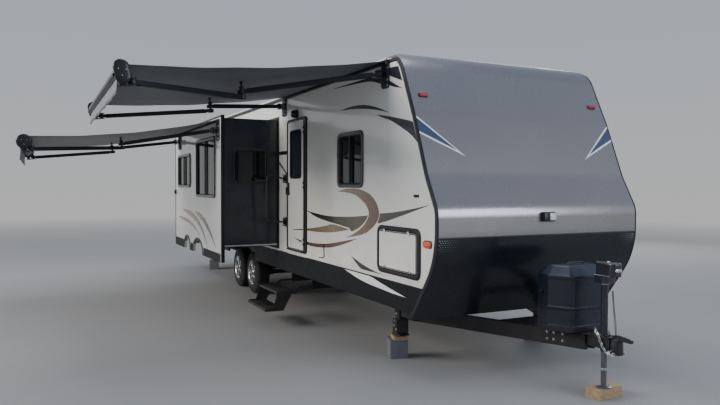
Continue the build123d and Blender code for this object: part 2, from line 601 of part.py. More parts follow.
# lamps: clearance lamps on the cap, side markers, tail lamps
CAP_N = Vector(610, 0, 288).normalized()
with BuildPart() as lamps:
    for side in (-1, 1):
        with BuildSketch(Plane(origin=(-497.85, side * 1075, 2689), x_dir=(0, 1, 0), z_dir=(CAP_N.X, 0, CAP_N.Z))):
            RectangleRounded(96, 36, 15)
        extrude(amount=20)
        plate_y(-225, -95, 1264, 1323, side * HALF_W, side * (HALF_W + 18), 24)
        plate_y(REAR + 80, REAR + 210, 1264, 1323, side * HALF_W, side * (HALF_W + 18), 24)
        y0, y1 = sorted((side * 1000, side * 1130))
        plate_x(y0, y1, 980, 1280, REAR - 30, REAR, 25)
keep("lamps", lamps)

# ---------------------------------------------------------------- slide-out room
FX0, FX1 = ROOM_X0 - FASCIA_LAP, ROOM_X1 + FASCIA_LAP
FASCIA_IN = ROOM_OUT + ROOM_WALL
with BuildPart() as room_outer_wall:
    block(FX0, FX1, ROOM_OUT, FASCIA_IN, FASCIA_LOW, ROOM_Z1 + 30)
    for x0, x1, z0, z1, _ in ROOM_WINDOWS:
        plate_y(x0, x1, z0, z1, ROOM_OUT - 5, FASCIA_IN + 5, 60, mode=Mode.SUBTRACT)
    for x0, x1, top in ARCHES:
        w = (x1 - x0) / 2
        with BuildSketch(Plane.XZ.offset(-(FASCIA_IN + 5))):
            with BuildLine():
                Polyline((x0, FASCIA_LOW - 5), (x1, FASCIA_LOW - 5), (x1 - w * 0.18, FASCIA_LOW + (top - FASCIA_LOW) * 0.6))
                ThreePointArc((x1 - w * 0.18, FASCIA_LOW + (top - FASCIA_LOW) * 0.6), (x0 + w, top),
                              (x0 + w * 0.18, FASCIA_LOW + (top - FASCIA_LOW) * 0.6))
                Line((x0 + w * 0.18, FASCIA_LOW + (top - FASCIA_LOW) * 0.6), (x0, FASCIA_LOW - 5))
            make_face()
        extrude(amount=ROOM_WALL + 10, mode=Mode.SUBTRACT)
keep("room_outer_wall", room_outer_wall)

with BuildPart() as room_end_walls:
    block(ROOM_X1 - ROOM_WALL, ROOM_X1, FASCIA_IN, ROOM_IN, ROOM_Z0, ROOM_Z1)
    block(ROOM_X0, ROOM_X0 + ROOM_WALL, FASCIA_IN, ROOM_IN, ROOM_Z0, ROOM_Z1)
    y0, y1, z0, z1 = ROOM_END_WINDOW
    plate_x(y0, y1, z0, z1, ROOM_X1 - ROOM_WALL - 5, ROOM_X1 + 5, 50, mode=Mode.SUBTRACT)
keep("room_end_walls", room_end_walls)

with BuildPart() as room_roof:
    block(ROOM_X0 + ROOM_WALL, ROOM_X1 - ROOM_WALL, FASCIA_IN, ROOM_IN, ROOM_Z1 - ROOM_WALL, ROOM_Z1)
    block(ROOM_X0 + ROOM_WALL, ROOM_X1 - ROOM_WALL, FASCIA_IN, ROOM_IN, ROOM_Z0, ROOM_Z0 + ROOM_WALL)
keep("room_roof_and_floor", room_roof)

with BuildPart() as room_window_frames:
    for x0, x1, z0, z1, bars in ROOM_WINDOWS:
        plate_y(x0 - 25, x1 + 25, z0 - 25, z1 + 25, ROOM_OUT - 14, ROOM_OUT, 80)
        plate_y(x0 + 18, x1 - 18, z0 + 18, z1 - 18, ROOM_OUT - 20, ROOM_OUT + 5, 46, mode=Mode.SUBTRACT)
        for i in range(bars):
            xm = x0 + (x1 - x0) * (i + 1) / (bars + 1)
            block(xm - 13, xm + 13, ROOM_OUT - 14, ROOM_OUT, z0 + 16, z1 - 16)
    y0, y1, z0, z1 = ROOM_END_WINDOW
    plate_x(y0 - 22, y1 + 22, z0 - 22, z1 + 22, ROOM_X1, ROOM_X1 + 8, 70)
    plate_x(y0 + 16, y1 - 16, z0 + 16, z1 - 16, ROOM_X1 - 5, ROOM_X1 + 20, 40, mode=Mode.SUBTRACT)
keep("room_window_frames", room_window_frames)

with BuildPart() as room_window_panes:
    for x0, x1, z0, z1, _ in ROOM_WINDOWS:
        plate_y(x0, x1, z0, z1, ROOM_OUT + 14, ROOM_OUT + 22, 60)
    y0, y1, z0, z1 = ROOM_END_WINDOW
    plate_x(y0, y1, z0, z1, ROOM_X1 - 24, ROOM_X1 - 16, 50)
keep("room_window_panes", room_window_panes)

# ---------------------------------------------------------------- folding-arm awnings
PIN, HOLE = 14.0, 15.0


def arm_bar(p, q, drop_p, drop_q, up, half_w, thick, r_end):
    """A flat arm from p to q (points on the pivots' plane), set below the plane by drop_p and drop_q."""
    up = Vector(*up)
    a, b = Vector(*p) - up * drop_p, Vector(*q) - up * drop_q
    along = (b - a).normalized()
    side = up.cross(along).normalized()
    normal = along.cross(side).normalized()
    with BuildSketch(Plane(origin=(a + b) * 0.5 - normal * (thick / 2), x_dir=along, z_dir=normal)) as bar:
        Rectangle((b - a).length - 2 * r_end * 0.6, 2 * half_w)
    extrude(bar.sketch, amount=thick)
    for c in (a, b):
        with BuildSketch(Plane(origin=c - up * (thick / 2), x_dir=side, z_dir=up)) as end:
            Circle(r_end)
        extrude(end.sketch, amount=thick)


def disc(centre, up, r, h0, h1, mode=Mode.ADD):
    """Round pin or hole about up, from height h0 to h1 over centre."""
    up = Vector(*up)
    with BuildSketch(Plane(origin=Vector(*centre) + up * h0, z_dir=up)) as s:
        Circle(r)
    extrude(s.sketch, amount=h1 - h0, mode=mode)


THICK, GAP = 36.0, 14.0
STEP = THICK + GAP
for a in AWNINGS:
    run = math.hypot(a["yw"] - a["ys"], a["zw"] - a["zs"])
    slope = math.atan2(a["zs"] - a["zw"], a["ys"] - a["yw"])
    up = (0, -math.sin(slope), math.cos(slope))
    bow = math.sqrt(a["arm"] ** 2 - (run / 2) ** 2)
    mid_y, mid_z = (a["ys"] + a["yw"]) / 2, (a["zs"] + a["zw"]) / 2
    arms = [("front", a["xf"], -1), ("rear", a["xr"], 1)]
    a["slope"], a["bow"], a["up"] = slope, bow, up
    for which, x, turn in arms:
        shoulder, elbow, wrist = (x, a["ys"], a["zs"]), (x + turn * bow, mid_y, mid_z), (x, a["yw"], a["zw"])
        # inner arm: from the shoulder to the elbow, dropping by one step
        with BuildPart() as inner_arm:
            arm_bar(shoulder, elbow, 0, STEP, up, 30, THICK, 44)
            disc(shoulder, up, HOLE, -60, 60, mode=Mode.SUBTRACT)
            disc(elbow, up, HOLE, -STEP - 40, -STEP + 40, mode=Mode.SUBTRACT)
        keep(f"{a['name']}_inner_arm_{which}", inner_arm)
        # outer arm: below the inner arm, with the elbow's pin and cap
        with BuildPart() as outer_arm:
            arm_bar(elbow, wrist, 2 * STEP, STEP, up, 26, THICK, 38)
            disc(elbow, up, PIN, -2 * STEP, -STEP + THICK / 2 + 16)
            disc(elbow, up, 24, -STEP + THICK / 2 + 6, -STEP + THICK / 2 + 34)
            disc(wrist, up, HOLE, -STEP - 60, -STEP + 60, mode=Mode.SUBTRACT)
        keep(f"{a['name']}_outer_arm_{which}", outer_arm)
    # wall rail with its shoulder brackets
    w = a["wall"]
    x_lo, x_hi = a["xr"] - 75, a["xf"] + 75
    with BuildPart() as rail:
        # fabric rail along the wall
        block(x_lo, x_hi, w - 34, w, a["rail_z"] - 22, a["rail_z"] + 22)
        for _, x, _ in arms:
            block(x - 55, x + 55, w - 26, w, a["zs"] - 90, a["rail_z"] + 22)
            for h0, h1 in ((-THICK / 2 - 20, -THICK / 2 - 8), (THICK / 2 + 8, THICK / 2 + 20)):
                with BuildSketch(Plane(origin=Vector(x, a["ys"], a["zs"]) + Vector(*up) * h0, x_dir=(1, 0, 0), z_dir=up)):
                    Circle(40)
                    with Locations((0, (a["wall"] - a["ys"]) / 2 - 6)):
                        Rectangle(80, a["wall"] - a["ys"] - 12)
                extrude(amount=h1 - h0)
            disc((x, a["ys"], a["zs"]), up, PIN, -THICK / 2 - 14, THICK / 2 + 14)
    keep(a["name"] + "_rail", rail)
    # roller with its end caps, front bar and wrist brackets
    with BuildPart() as roller:
        rod((x_lo + 26, a["yr"], a["zr"]), (x_hi - 26, a["yr"], a["zr"]), a["rr"])
        for x0, x1 in ((x_lo, x_lo + 30), (x_hi - 30, x_hi)):
            if a["rr"] > 60:
                rod((x0, a["yr"], a["zr"]), (x1, a["yr"], a["zr"]), a["rr"] + 24)
            else:
                with BuildSketch(Plane.YZ.offset(x0)):
                    with Locations((a["yr"], a["zr"])):
                        SlotOverall(200, 125, rotation=102)
                extrude(amount=30)
        for _, x, _ in arms:
            top = Vector(x, a["yw"], a["zw"])
            n = Vector(*up)
            for h0, h1 in ((-STEP - THICK / 2 - 18, -STEP - THICK / 2 - 8), (-STEP + THICK / 2 + 8, -STEP + THICK / 2 + 18)):
                with BuildSketch(Plane(origin=top + n * h0, x_dir=(1, 0, 0), z_dir=up)):
                    Circle(36)
                    with Locations((0, -27)):
                        Rectangle(72, 54)
                extrude(amount=h1 - h0)
            disc((x, a["yw"], a["zw"]), up, PIN, -STEP - THICK / 2 - 12, -STEP + THICK / 2 + 12)
            block(x - 36, x + 36, a["yr"] - 10, a["yw"] - 46, a["zw"] - STEP - 44, a["zr"])
    keep(a["name"] + "_roller", roller)
    # canopy cloth, one thin sheet with its sag
    with BuildPart() as cloth:
        y0, z0 = w - 36, a["rail_z"] + 6
        y1, z1 = a["yr"] + 30, a["zr"] + a["rr"] + 4
        with BuildSketch(Plane.YZ.offset(x_lo + 42)):
            with BuildLine():
                ThreePointArc((y0, z0), (a["sag"][0], a["sag"][1]), (y1, z1))
                Line((y1, z1), (y1, z1 + 6))
                ThreePointArc((y1, z1 + 6), (a["sag"][0], a["sag"][1] + 6), (y0, z0 + 6))
                Line((y0, z0 + 6), (y0, z0))
            make_face()
        extrude(amount=x_hi - x_lo - 84)
    keep(a["name"] + "_cloth", cloth)

# ---------------------------------------------------------------- entry steps that slide under the floor

with BuildPart() as entry_steps:
    for x0, x1 in ((STEP_X0, STEP_X0 + 6), (STEP_X1 - 6, STEP_X1)):
        with BuildSketch(Plane.YZ.offset(x0)):
            with BuildLine():
                Polyline((-620, 484), (-1336, 484), (-1396, 424), (-1450, 424), (-1560, 216), (-1800, 216),
                         (-1800, 262), (-1700, 262), (-1655, 400), (-1650, 468), (-1410, 468), (-1340, 514),
                         (-620, 514), close=True)
            make_face()
        extrude(amount=x1 - x0)
    block(STEP_X0, STEP_X1, -1640, -1390, 430, 455)
    block(STEP_X0, STEP_X1, -1800, -1560, 222, 248)
keep("entry_steps", entry_steps)

# ---------------------------------------------------------------- fold-out grab handle beside the door

with BuildPart() as grab_handle:
    with BuildLine():
        FilletPolyline((HANDLE_X, HANDLE_Y - 4, 1310), (HANDLE_X, HANDLE_Y - 250, 1310), (HANDLE_X, HANDLE_Y - 250, 1990),
                       (HANDLE_X, HANDLE_Y - 4, 1920), radius=60)
    with BuildSketch(Plane(origin=(HANDLE_X, HANDLE_Y - 4, 1310), z_dir=(0, -1, 0))):
        Circle(12)
    sweep()
    for z in (1310, 1920):
        rod((HANDLE_X, HANDLE_Y, z - 40), (HANDLE_X, HANDLE_Y, z + 40), 13)
keep("grab_handle", grab_handle)

# ---------------------------------------------------------------- write every piece
low, high = [1e9] * 3, [-1e9] * 3
for name, builder in PIECES:
    piece = builder.part.moved(Location(SHIFT))
    piece.label = name
    export_step(piece, f"parts/{name}.step")
    bb = piece.bounding_box()
    if abs(bb.max.X) > 1e6:
        print("box", name)
    low = [min(a, b) for a, b in zip(low, (bb.min.X, bb.min.Y, bb.min.Z))]
    high = [max(a, b) for a, b in zip(high, (bb.max.X, bb.max.Y, bb.max.Z))]
print(len(PIECES), "pieces; box", [round(v, 2) for v in low], [round(v, 2) for v in high])
print("middle", round((low[0] + high[0]) / 2, 3), round((low[1] + high[1]) / 2, 3))
for a in AWNINGS:
    print(a["name"], "slope", round(math.degrees(a["slope"]), 4), "bow", round(a["bow"], 3),
          "rest angle", round(math.degrees(math.asin(a["bow"] / a["arm"])), 3))
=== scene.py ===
import math

import bmesh
import bpy
import numpy as np
from mathutils import Matrix, Vector


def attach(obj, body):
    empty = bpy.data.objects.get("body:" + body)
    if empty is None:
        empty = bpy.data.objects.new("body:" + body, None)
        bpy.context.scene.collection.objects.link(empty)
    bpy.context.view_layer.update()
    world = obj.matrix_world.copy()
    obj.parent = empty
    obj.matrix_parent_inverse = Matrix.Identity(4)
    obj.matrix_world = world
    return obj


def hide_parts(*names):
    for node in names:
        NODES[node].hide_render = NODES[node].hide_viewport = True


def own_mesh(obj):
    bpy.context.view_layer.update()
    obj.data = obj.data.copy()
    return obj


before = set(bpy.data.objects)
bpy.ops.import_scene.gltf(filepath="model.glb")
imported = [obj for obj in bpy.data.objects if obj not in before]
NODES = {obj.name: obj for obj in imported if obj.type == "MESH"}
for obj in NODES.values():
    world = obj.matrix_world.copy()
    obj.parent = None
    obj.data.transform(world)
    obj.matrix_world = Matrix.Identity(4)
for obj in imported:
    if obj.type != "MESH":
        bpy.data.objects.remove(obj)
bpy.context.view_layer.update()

# ---------------------------------------------------------------- the design frame, metres: x forward, nose at 0, y left
OFF = Vector((4.5775, 1.69025, 0.0))
HALF_W, REAR, ROOF_Z, CAP_SPLIT = 1.220, -10.100, 3.152, 1.360
PROFILE = [(-0.430, 0.557, 0), (0, 1.143, 0.8), (0, 1.6, 0.25), (-0.18, 1.925, 0.5),
           (-0.403, 2.488, 0.6), (-0.7165, 3.152, 0.35), (-1.0, 3.152, 0)]
# windows: side, x0, x1, z0, z1
WINDOWS = [(-1, -2.127, -1.505, 1.827, 2.405), (-1, -9.25, -8.5, 1.85, 2.42), (1, -2.127, -1.505, 1.827, 2.405),
           (1, -5.0, -3.6, 1.76, 2.42), (1, -7.35, -6.85, 2.0, 2.42), (1, -9.25, -8.5, 1.85, 2.42)]
ROOM_WINDOWS = [(-5.857, -4.64, 1.66, 2.52), (-7.379, -6.38, 1.81, 2.34)]
ROOM_OUT, ROOM_X0, ROOM_X1 = -2.071, -7.654, -4.298
DOOR = (-3.868, -3.196, 0.928, 2.732)
PANE = (-3.72, -3.326, 1.938, 2.561)
HATCHES = [(-1, -1.128, -0.311, 0.958, 1.408), (1, -1.128, -0.311, 0.958, 1.408)]
AXLE_X = (-5.884, -6.739)
AWN = {
    "awning": dict(xf=-0.975, xr=-4.010, ys=-1.300, zs=2.940, yw=-3.660, zw=2.744, arm=1.440, yr=-3.745, zr=2.770,
                   rr=0.058, wall=-1.220, rail=3.062, sag=(-2.480, 2.905), bow=0.81951, hem=2.585),
    "room_awning": dict(xf=-4.430, xr=-7.270, ys=-2.146, zs=2.600, yw=-4.460, zw=2.330, arm=1.384, yr=-4.538, zr=2.368,
                        rr=0.066, wall=-2.071, rail=2.740, sag=(-3.230, 2.528), bow=0.747383, hem=2.145),
}


def N(x, y, z):
    return Vector((x, y, z)) + OFF


# ---------------------------------------------------------------- materials
def ramp(nt, fac, stops):
    r = nt.nodes.new("ShaderNodeValToRGB")
    e = r.color_ramp.elements
    while len(e) < len(stops):
        e.new(0.5)
    for el, (p, c) in zip(e, stops):
        el.position = p
        el.color = (*c, 1) if len(c) == 3 else c
    nt.links.new(fac, r.inputs[0])
    return r.outputs[0]


def mix(nt, fac, a, b, kind="MIX"):
    m = nt.nodes.new("ShaderNodeMix")
    m.data_type = "RGBA"
    m.blend_type = kind
    for value, sock in ((fac, m.inputs[0]), (a, m.inputs[6]), (b, m.inputs[7])):
        if isinstance(value, (int, float)):
            sock.default_value = value
        elif isinstance(value, tuple):
            sock.default_value = (*value, 1) if len(value) == 3 else value
        else:
            nt.links.new(value, sock)
    return m.outputs[2]


def span(nt, value, a, b, c=0.0, d=1.0):
    m = nt.nodes.new("ShaderNodeMapRange")
    m.clamp = True
    nt.links.new(value, m.inputs[0])
    for i, v in zip((1, 2, 3, 4), (a, b, c, d)):
        m.inputs[i].default_value = v
    return m.outputs[0]


def noise(nt, vec, scale, detail=4.0, rough=0.55, distort=0.0):
    n = nt.nodes.new("ShaderNodeTexNoise")
    n.inputs["Scale"].default_value = scale
    n.inputs["Detail"].default_value = detail
    n.inputs["Roughness"].default_value = rough
    n.inputs["Distortion"].default_value = distort
    nt.links.new(vec, n.inputs["Vector"])
    return n.outputs["Fac"]


def coords(nt, stretch=(1, 1, 1), turn=(0, 0, 0)):
    tc = nt.nodes.new("ShaderNodeTexCoord")
    m = nt.nodes.new("ShaderNodeMapping")
    m.inputs["Scale"].default_value = stretch
    m.inputs["Rotation"].default_value = turn
    nt.links.new(tc.outputs["Object"], m.inputs["Vector"])
    return m.outputs["Vector"]


def axis(nt, vec, which):
    s = nt.nodes.new("ShaderNodeSeparateXYZ")
    nt.links.new(vec, s.inputs[0])
    return s.outputs[which]


MATS = {}


def surface(name, base, alt=None, scale=4.0, stretch=(1, 1, 1), turn=(0, 0, 0), rough=(0.4, 0.5), rough_scale=9.0,
            metal=0.0, coat=0.0, coat_rough=0.06, spec=0.5, bumps=(), edge=0.0, paint=None, ior=1.5, sheen=0.0,
            trans=0.0, subsurface=0.0):
    """A procedural finish. bumps: rows of kind, scale, depth in metres, strength. paint: a function that adds to the colour."""
    m = bpy.data.materials.new(name)
    m.use_nodes = True
    nt = m.node_tree
    p = nt.nodes["Principled BSDF"]
    vec = coords(nt, stretch, turn)
    plain = coords(nt)
    alt = alt or tuple(min(1, c * 0.86) for c in base)
    col = mix(nt, span(nt, noise(nt, vec, scale), 0.3, 0.7), base, alt)
    if paint:
        col = paint(nt, col, plain)
    nt.links.new(col, p.inputs["Base Color"])
    nt.links.new(span(nt, noise(nt, plain, rough_scale, 5.0), 0.25, 0.75, rough[0], rough[1]), p.inputs["Roughness"])
    p.inputs["Metallic"].default_value = metal
    p.inputs["Coat Weight"].default_value = coat
    p.inputs["Coat Roughness"].default_value = coat_rough
    p.inputs["Specular IOR Level"].default_value = spec
    p.inputs["IOR"].default_value = ior
    p.inputs["Sheen Weight"].default_value = sheen
    p.inputs["Transmission Weight"].default_value = trans
    p.inputs["Subsurface Weight"].default_value = subsurface
    normal = None
    if edge:
        b = nt.nodes.new("ShaderNodeBevel")
        b.samples = 4
        b.inputs["Radius"].default_value = edge
        normal = b.outputs[0]
    for kind, bscale, depth, strength in bumps:
        if kind == "wave":
            w = nt.nodes.new("ShaderNodeTexWave")
            w.inputs["Scale"].default_value = bscale
            w.inputs["Distortion"].default_value = 1.2
            w.inputs["Detail"].default_value = 2.0
            nt.links.new(vec, w.inputs["Vector"])
            height = w.outputs["Fac"]
        elif kind == "cells":
            w = nt.nodes.new("ShaderNodeTexVoronoi")
            w.inputs["Scale"].default_value = bscale
            nt.links.new(plain, w.inputs["Vector"])
            height = w.outputs["Distance"]
        elif kind == "weave":
            a = nt.nodes.new("ShaderNodeTexWave")
            c = nt.nodes.new("ShaderNodeTexWave")
            for t, d in ((a, "X"), (c, "Y")):
                t.bands_direction = d
                t.inputs["Scale"].default_value = bscale
                nt.links.new(plain, t.inputs["Vector"])
            height = mix(nt, 0.5, a.outputs["Color"], c.outputs["Color"])
        else:
            height = noise(nt, vec if kind == "grain" else plain, bscale, 6.0)
        b = nt.nodes.new("ShaderNodeBump")
        b.inputs["Distance"].default_value = depth
        b.inputs["Strength"].default_value = strength
        nt.links.new(height, b.inputs["Height"])
        if normal is not None:
            nt.links.new(normal, b.inputs["Normal"])
        normal = b.outputs[0]
    if normal is not None:
        nt.links.new(normal, p.inputs["Normal"])
        if coat:
            nt.links.new(normal, p.inputs["Coat Normal"])
    MATS[name] = m
    return m


def low_dust(top, amount, colour=(0.36, 0.32, 0.26), bottom=0.6):
    """Road dust that thins out upwards."""
    def paint(nt, col, plain):
        z = span(nt, axis(nt, plain, 2), bottom, top, 1.0, 0.0)
        n = span(nt, noise(nt, plain, 5.0, 6.0, 0.65), 0.35, 0.75)
        m = nt.nodes.new("ShaderNodeMath")
        m.operation = "MULTIPLY"
        nt.links.new(z, m.inputs[0])
        nt.links.new(n, m.inputs[1])
        m2 = nt.nodes.new("ShaderNodeMath")
        m2.operation = "MULTIPLY"
        nt.links.new(m.outputs[0], m2.inputs[0])
        m2.inputs[1].default_value = amount
        return mix(nt, m2.outputs[0], col, colour)
    return paint


def fade_x(stops, x0, x1, mirror=False):
    """Colour that runs along x, from row-frame x0 to x1."""
    def paint(nt, col, plain):
        t = span(nt, axis(nt, plain, 0), x0 + OFF.x, x1 + OFF.x)
        return mix(nt, 0.97, col, ramp(nt, t, stops))
    return paint


def fade_z(stops, z0, z1):
    def paint(nt, col, plain):
        t = span(nt, axis(nt, plain, 2), z0, z1)
        return mix(nt, 0.97, col, ramp(nt, t, stops))
    return paint


def lamp_colours(nt, col, plain):
    x = axis(nt, plain, 0)
    return mix(nt, span(nt, x, OFF.x - 0.32, OFF.x - 0.30), (0.42, 0.012, 0.02), (0.78, 0.10, 0.01))


def cap_top_painted_reflection(nt, col, plain):
    """Painted reflection: the cap darkens a little into its rounded top, standing in for a dark reflection there."""
    z = span(nt, axis(nt, plain, 2), 2.95, 3.09)
    return mix(nt, z, col, (0.16, 0.155, 0.16))


surface("wall_gelcoat", (0.80, 0.80, 0.765), (0.765, 0.77, 0.745), 0.8, rough=(0.13, 0.22), rough_scale=1.5, coat=0.55,
        coat_rough=0.04, bumps=(("noise", 0.9, 0.006, 0.22), ("noise", 5.0, 0.0008, 0.25)), edge=0.004,
        paint=low_dust(1.35, 0.4, bottom=0.9))
surface("door_gelcoat", (0.80, 0.80, 0.775), (0.76, 0.765, 0.745), 1.1, rough=(0.16, 0.24), coat=0.4, coat_rough=0.06,
        bumps=(("noise", 1.6, 0.003, 0.2),), edge=0.004, paint=low_dust(1.5, 0.35, bottom=0.9))
surface("room_gelcoat", (0.81, 0.815, 0.79), (0.775, 0.785, 0.77), 0.7, rough=(0.07, 0.14), rough_scale=1.2, coat=0.8,
        coat_rough=0.03, bumps=(("noise", 0.8, 0.006, 0.25),), edge=0.005, paint=low_dust(1.2, 0.4, bottom=0.72))
# pewter cap, with a painted dark reflection on its rounded top
surface("pewter_cap", (0.265, 0.252, 0.258), (0.25, 0.24, 0.248), 0.9, rough=(0.24, 0.3), rough_scale=1.5, metal=0.62,
        coat=0.9, coat_rough=0.06, bumps=(("noise", 0.9, 0.004, 0.10), ("cells", 900, 0.0002, 0.06)), edge=0.006,
        paint=cap_top_painted_reflection)
surface("black_cap", (0.0065, 0.008, 0.0125), (0.0085, 0.0095, 0.014), 3.0, rough=(0.24, 0.34), rough_scale=3.0, coat=0.2,
        coat_rough=0.10, spec=0.38, bumps=(("noise", 1.8, 0.004, 0.15),), edge=0.006,
        paint=low_dust(1.1, 0.06, (0.08, 0.072, 0.06), 0.55))
surface("roof_sheet", (0.62, 0.62, 0.60), (0.52, 0.52, 0.50), 2.2, rough=(0.62, 0.75), bumps=(("noise", 60, 0.001, 0.3),
        ("noise", 2.5, 0.004, 0.3)), edge=0.006)
surface("floor_board", (0.035, 0.036, 0.038), (0.05, 0.05, 0.052), 3.0, rough=(0.55, 0.7), bumps=(("noise", 14, 0.003, 0.4),))
surface("skirt_plastic", (0.0062, 0.0078, 0.0105), (0.0090, 0.0105, 0.0130), 3.0, rough=(0.42, 0.55), spec=0.2,
        bumps=(("noise", 2.2, 0.003, 0.2),), edge=0.003, paint=low_dust(0.88, 0.07, (0.07, 0.066, 0.06), 0.6))
surface("trim_rubber", (0.016, 0.018, 0.021), (0.026, 0.028, 0.031), 6.0, rough=(0.34, 0.5), spec=0.45,
        bumps=(("noise", 240, 0.0004, 0.25),), edge=0.003)
surface("gloss_trim", (0.009, 0.010, 0.014), (0.013, 0.014, 0.018), 6.0, rough=(0.30, 0.42), coat=0.12, spec=0.35, edge=0.003,
        bumps=(("noise", 9, 0.0006, 0.15),))
surface("ring_trim", (0.040, 0.042, 0.038), (0.052, 0.053, 0.048), 6.0, rough=(0.24, 0.36), coat=0.3, edge=0.003,
        bumps=(("noise", 240, 0.0003, 0.2),))
surface("dark_glass", (0.008, 0.010, 0.012), (0.012, 0.014, 0.015), 1.5, rough=(0.02, 0.05), rough_scale=3, spec=0.5,
        bumps=(("noise", 1.4, 0.002, 0.08),))
surface("door_glass", (0.016, 0.023, 0.034), (0.020, 0.028, 0.040), 1.5, rough=(0.05, 0.10), rough_scale=3, spec=0.5,
        bumps=(("noise", 1.4, 0.002, 0.08),))
surface("chassis_paint", (0.011, 0.011, 0.015), (0.018, 0.017, 0.020), 7.0, rough=(0.36, 0.52), spec=0.4,
        bumps=(("noise", 160, 0.0005, 0.25), ("noise", 9, 0.001, 0.2)), edge=0.004,
        paint=low_dust(0.7, 0.18, (0.11, 0.09, 0.07), 0.3))
surface("axle_iron", (0.022, 0.020, 0.019), (0.075, 0.05, 0.035), 9.0, rough=(0.5, 0.72), metal=0.3,
        bumps=(("noise", 120, 0.001, 0.4),), edge=0.003)
# concrete blocks: colour darkened and blued to the shade they stand in, painted shade; the concrete itself is a lighter
# grey
surface("cast_block", (0.16, 0.17, 0.19), (0.12, 0.13, 0.15), 9.0, rough=(0.8, 0.92), spec=0.25,
        bumps=(("noise", 75, 0.004, 0.5), ("cells", 260, 0.0015, 0.35)), edge=0.007)
surface("sawn_timber", (0.46, 0.33, 0.19), (0.25, 0.17, 0.10), 3.0, (3, 26, 26), (0, 0, math.radians(12)),
        rough=(0.62, 0.8), spec=0.25, bumps=(("grain", 9.0, 0.0015, 0.5), ("noise", 300, 0.0005, 0.3)), edge=0.003)
surface("jack_powder", (0.011, 0.012, 0.022), (0.017, 0.018, 0.026), 8.0, rough=(0.22, 0.34), coat=0.4,
        bumps=(("noise", 320, 0.0003, 0.25),), edge=0.006)
surface("cover_plastic", (0.011, 0.013, 0.026), (0.016, 0.018, 0.030), 3.0, rough=(0.24, 0.36), coat=0.15, coat_rough=0.1, spec=0.35,
        bumps=(("noise", 5.0, 0.002, 0.2), ("noise", 420, 0.0002, 0.2)), edge=0.010,
        paint=low_dust(0.8, 0.18, (0.16, 0.13, 0.10), 0.5))
# top of the gas cover: a lighter, bluer copy of the cover plastic, painted sky light on the crown
surface("cover_crown_painted_skylight", (0.028, 0.035, 0.056), (0.022, 0.028, 0.046), 4.0, rough=(0.30, 0.42), coat=0.1, edge=0.008,
        bumps=(("noise", 420, 0.0002, 0.2),))
surface("bumper_paint", (0.014, 0.014, 0.016), (0.024, 0.023, 0.024), 6.0, rough=(0.3, 0.45),
        bumps=(("noise", 200, 0.0004, 0.25),), edge=0.008)
surface("unit_plastic", (0.70, 0.70, 0.68), (0.62, 0.62, 0.60), 5.0, rough=(0.42, 0.55),
        bumps=(("noise", 260, 0.0006, 0.3),), edge=0.012)
surface("lens", (0.4, 0.02, 0.02), rough=(0.10, 0.18), coat=1.0, coat_rough=0.04, subsurface=0.1,
        bumps=(("wave", 46, 0.0012, 0.4),), edge=0.004, paint=lamp_colours)
surface("clear_lens", (0.72, 0.72, 0.70), (0.6, 0.6, 0.6), rough=(0.1, 0.2), coat=1.0, bumps=(("wave", 60, 0.001, 0.4),))
surface("arm_metal", (0.011, 0.014, 0.022), (0.017, 0.020, 0.028), 4.0, (1, 8, 8), rough=(0.34, 0.46), metal=0.1, spec=0.4,
        bumps=(("noise", 260, 0.0004, 0.25),), edge=0.007)
surface("zinc", (0.52, 0.53, 0.55), (0.38, 0.39, 0.40), 30.0, rough=(0.28, 0.42), metal=1.0,
        bumps=(("noise", 300, 0.0003, 0.3),))
surface("chrome", (0.72, 0.73, 0.75), (0.60, 0.61, 0.63), 12.0, rough=(0.06, 0.16), metal=1.0,
        bumps=(("noise", 60, 0.0003, 0.15),))
surface("grey_tube", (0.17, 0.18, 0.20), (0.12, 0.12, 0.13), 14.0, (4, 4, 1), rough=(0.3, 0.5), metal=0.8,
        bumps=(("noise", 200, 0.0004, 0.3),))
surface("step_powder", (0.013, 0.013, 0.015), (0.022, 0.022, 0.024), 7.0, rough=(0.36, 0.52),
        bumps=(("noise", 240, 0.0006, 0.35),), edge=0.004, paint=low_dust(0.6, 0.25, (0.2, 0.17, 0.13), 0.2))
surface("grip_rubber", (0.012, 0.013, 0.016), (0.02, 0.021, 0.023), 8.0, rough=(0.42, 0.6),
        bumps=(("wave", 90, 0.0006, 0.2),), edge=0.003)
surface("tyre_rubber", (0.017, 0.0175, 0.019), (0.034, 0.033, 0.031), 7.0, rough=(0.6, 0.8), spec=0.3,
        bumps=(("noise", 180, 0.0008, 0.3),), paint=low_dust(0.5, 0.18, (0.10, 0.09, 0.075), 0.0))
surface("alloy", (0.60, 0.61, 0.63), (0.52, 0.53, 0.55), 12.0, rough=(0.16, 0.3), metal=0.92, coat=0.3, edge=0.003,
        bumps=(("noise", 90, 0.0003, 0.2),))
surface("alloy_pocket", (0.03, 0.031, 0.034), (0.05, 0.05, 0.052), 12.0, rough=(0.4, 0.55), metal=0.4,
        bumps=(("noise", 140, 0.0004, 0.3),))
surface("room_end_laminate", (0.0115, 0.0135, 0.026), (0.016, 0.018, 0.031), 1.6, rough=(0.24, 0.34), rough_scale=2.5,
        coat=0.35, coat_rough=0.12, bumps=(("noise", 1.6, 0.004, 0.22),), edge=0.004, spec=0.4)
# main canopy: darker towards its front end, partly the cloth's fade print and partly painted shade under the canopy
surface("awning_vinyl", (0.125, 0.13, 0.15), (0.105, 0.11, 0.13), 2.0, rough=(0.5, 0.62), spec=0.3, sheen=0.1,
        bumps=(("weave", 420, 0.0004, 0.35), ("noise", 3.5, 0.004, 0.25)),
        paint=fade_x([(0.0, (0.125, 0.13, 0.15)), (0.60, (0.11, 0.118, 0.14)), (0.86, (0.070, 0.080, 0.102)),
                      (1.0, (0.048, 0.057, 0.078))], -4.05, -0.9))
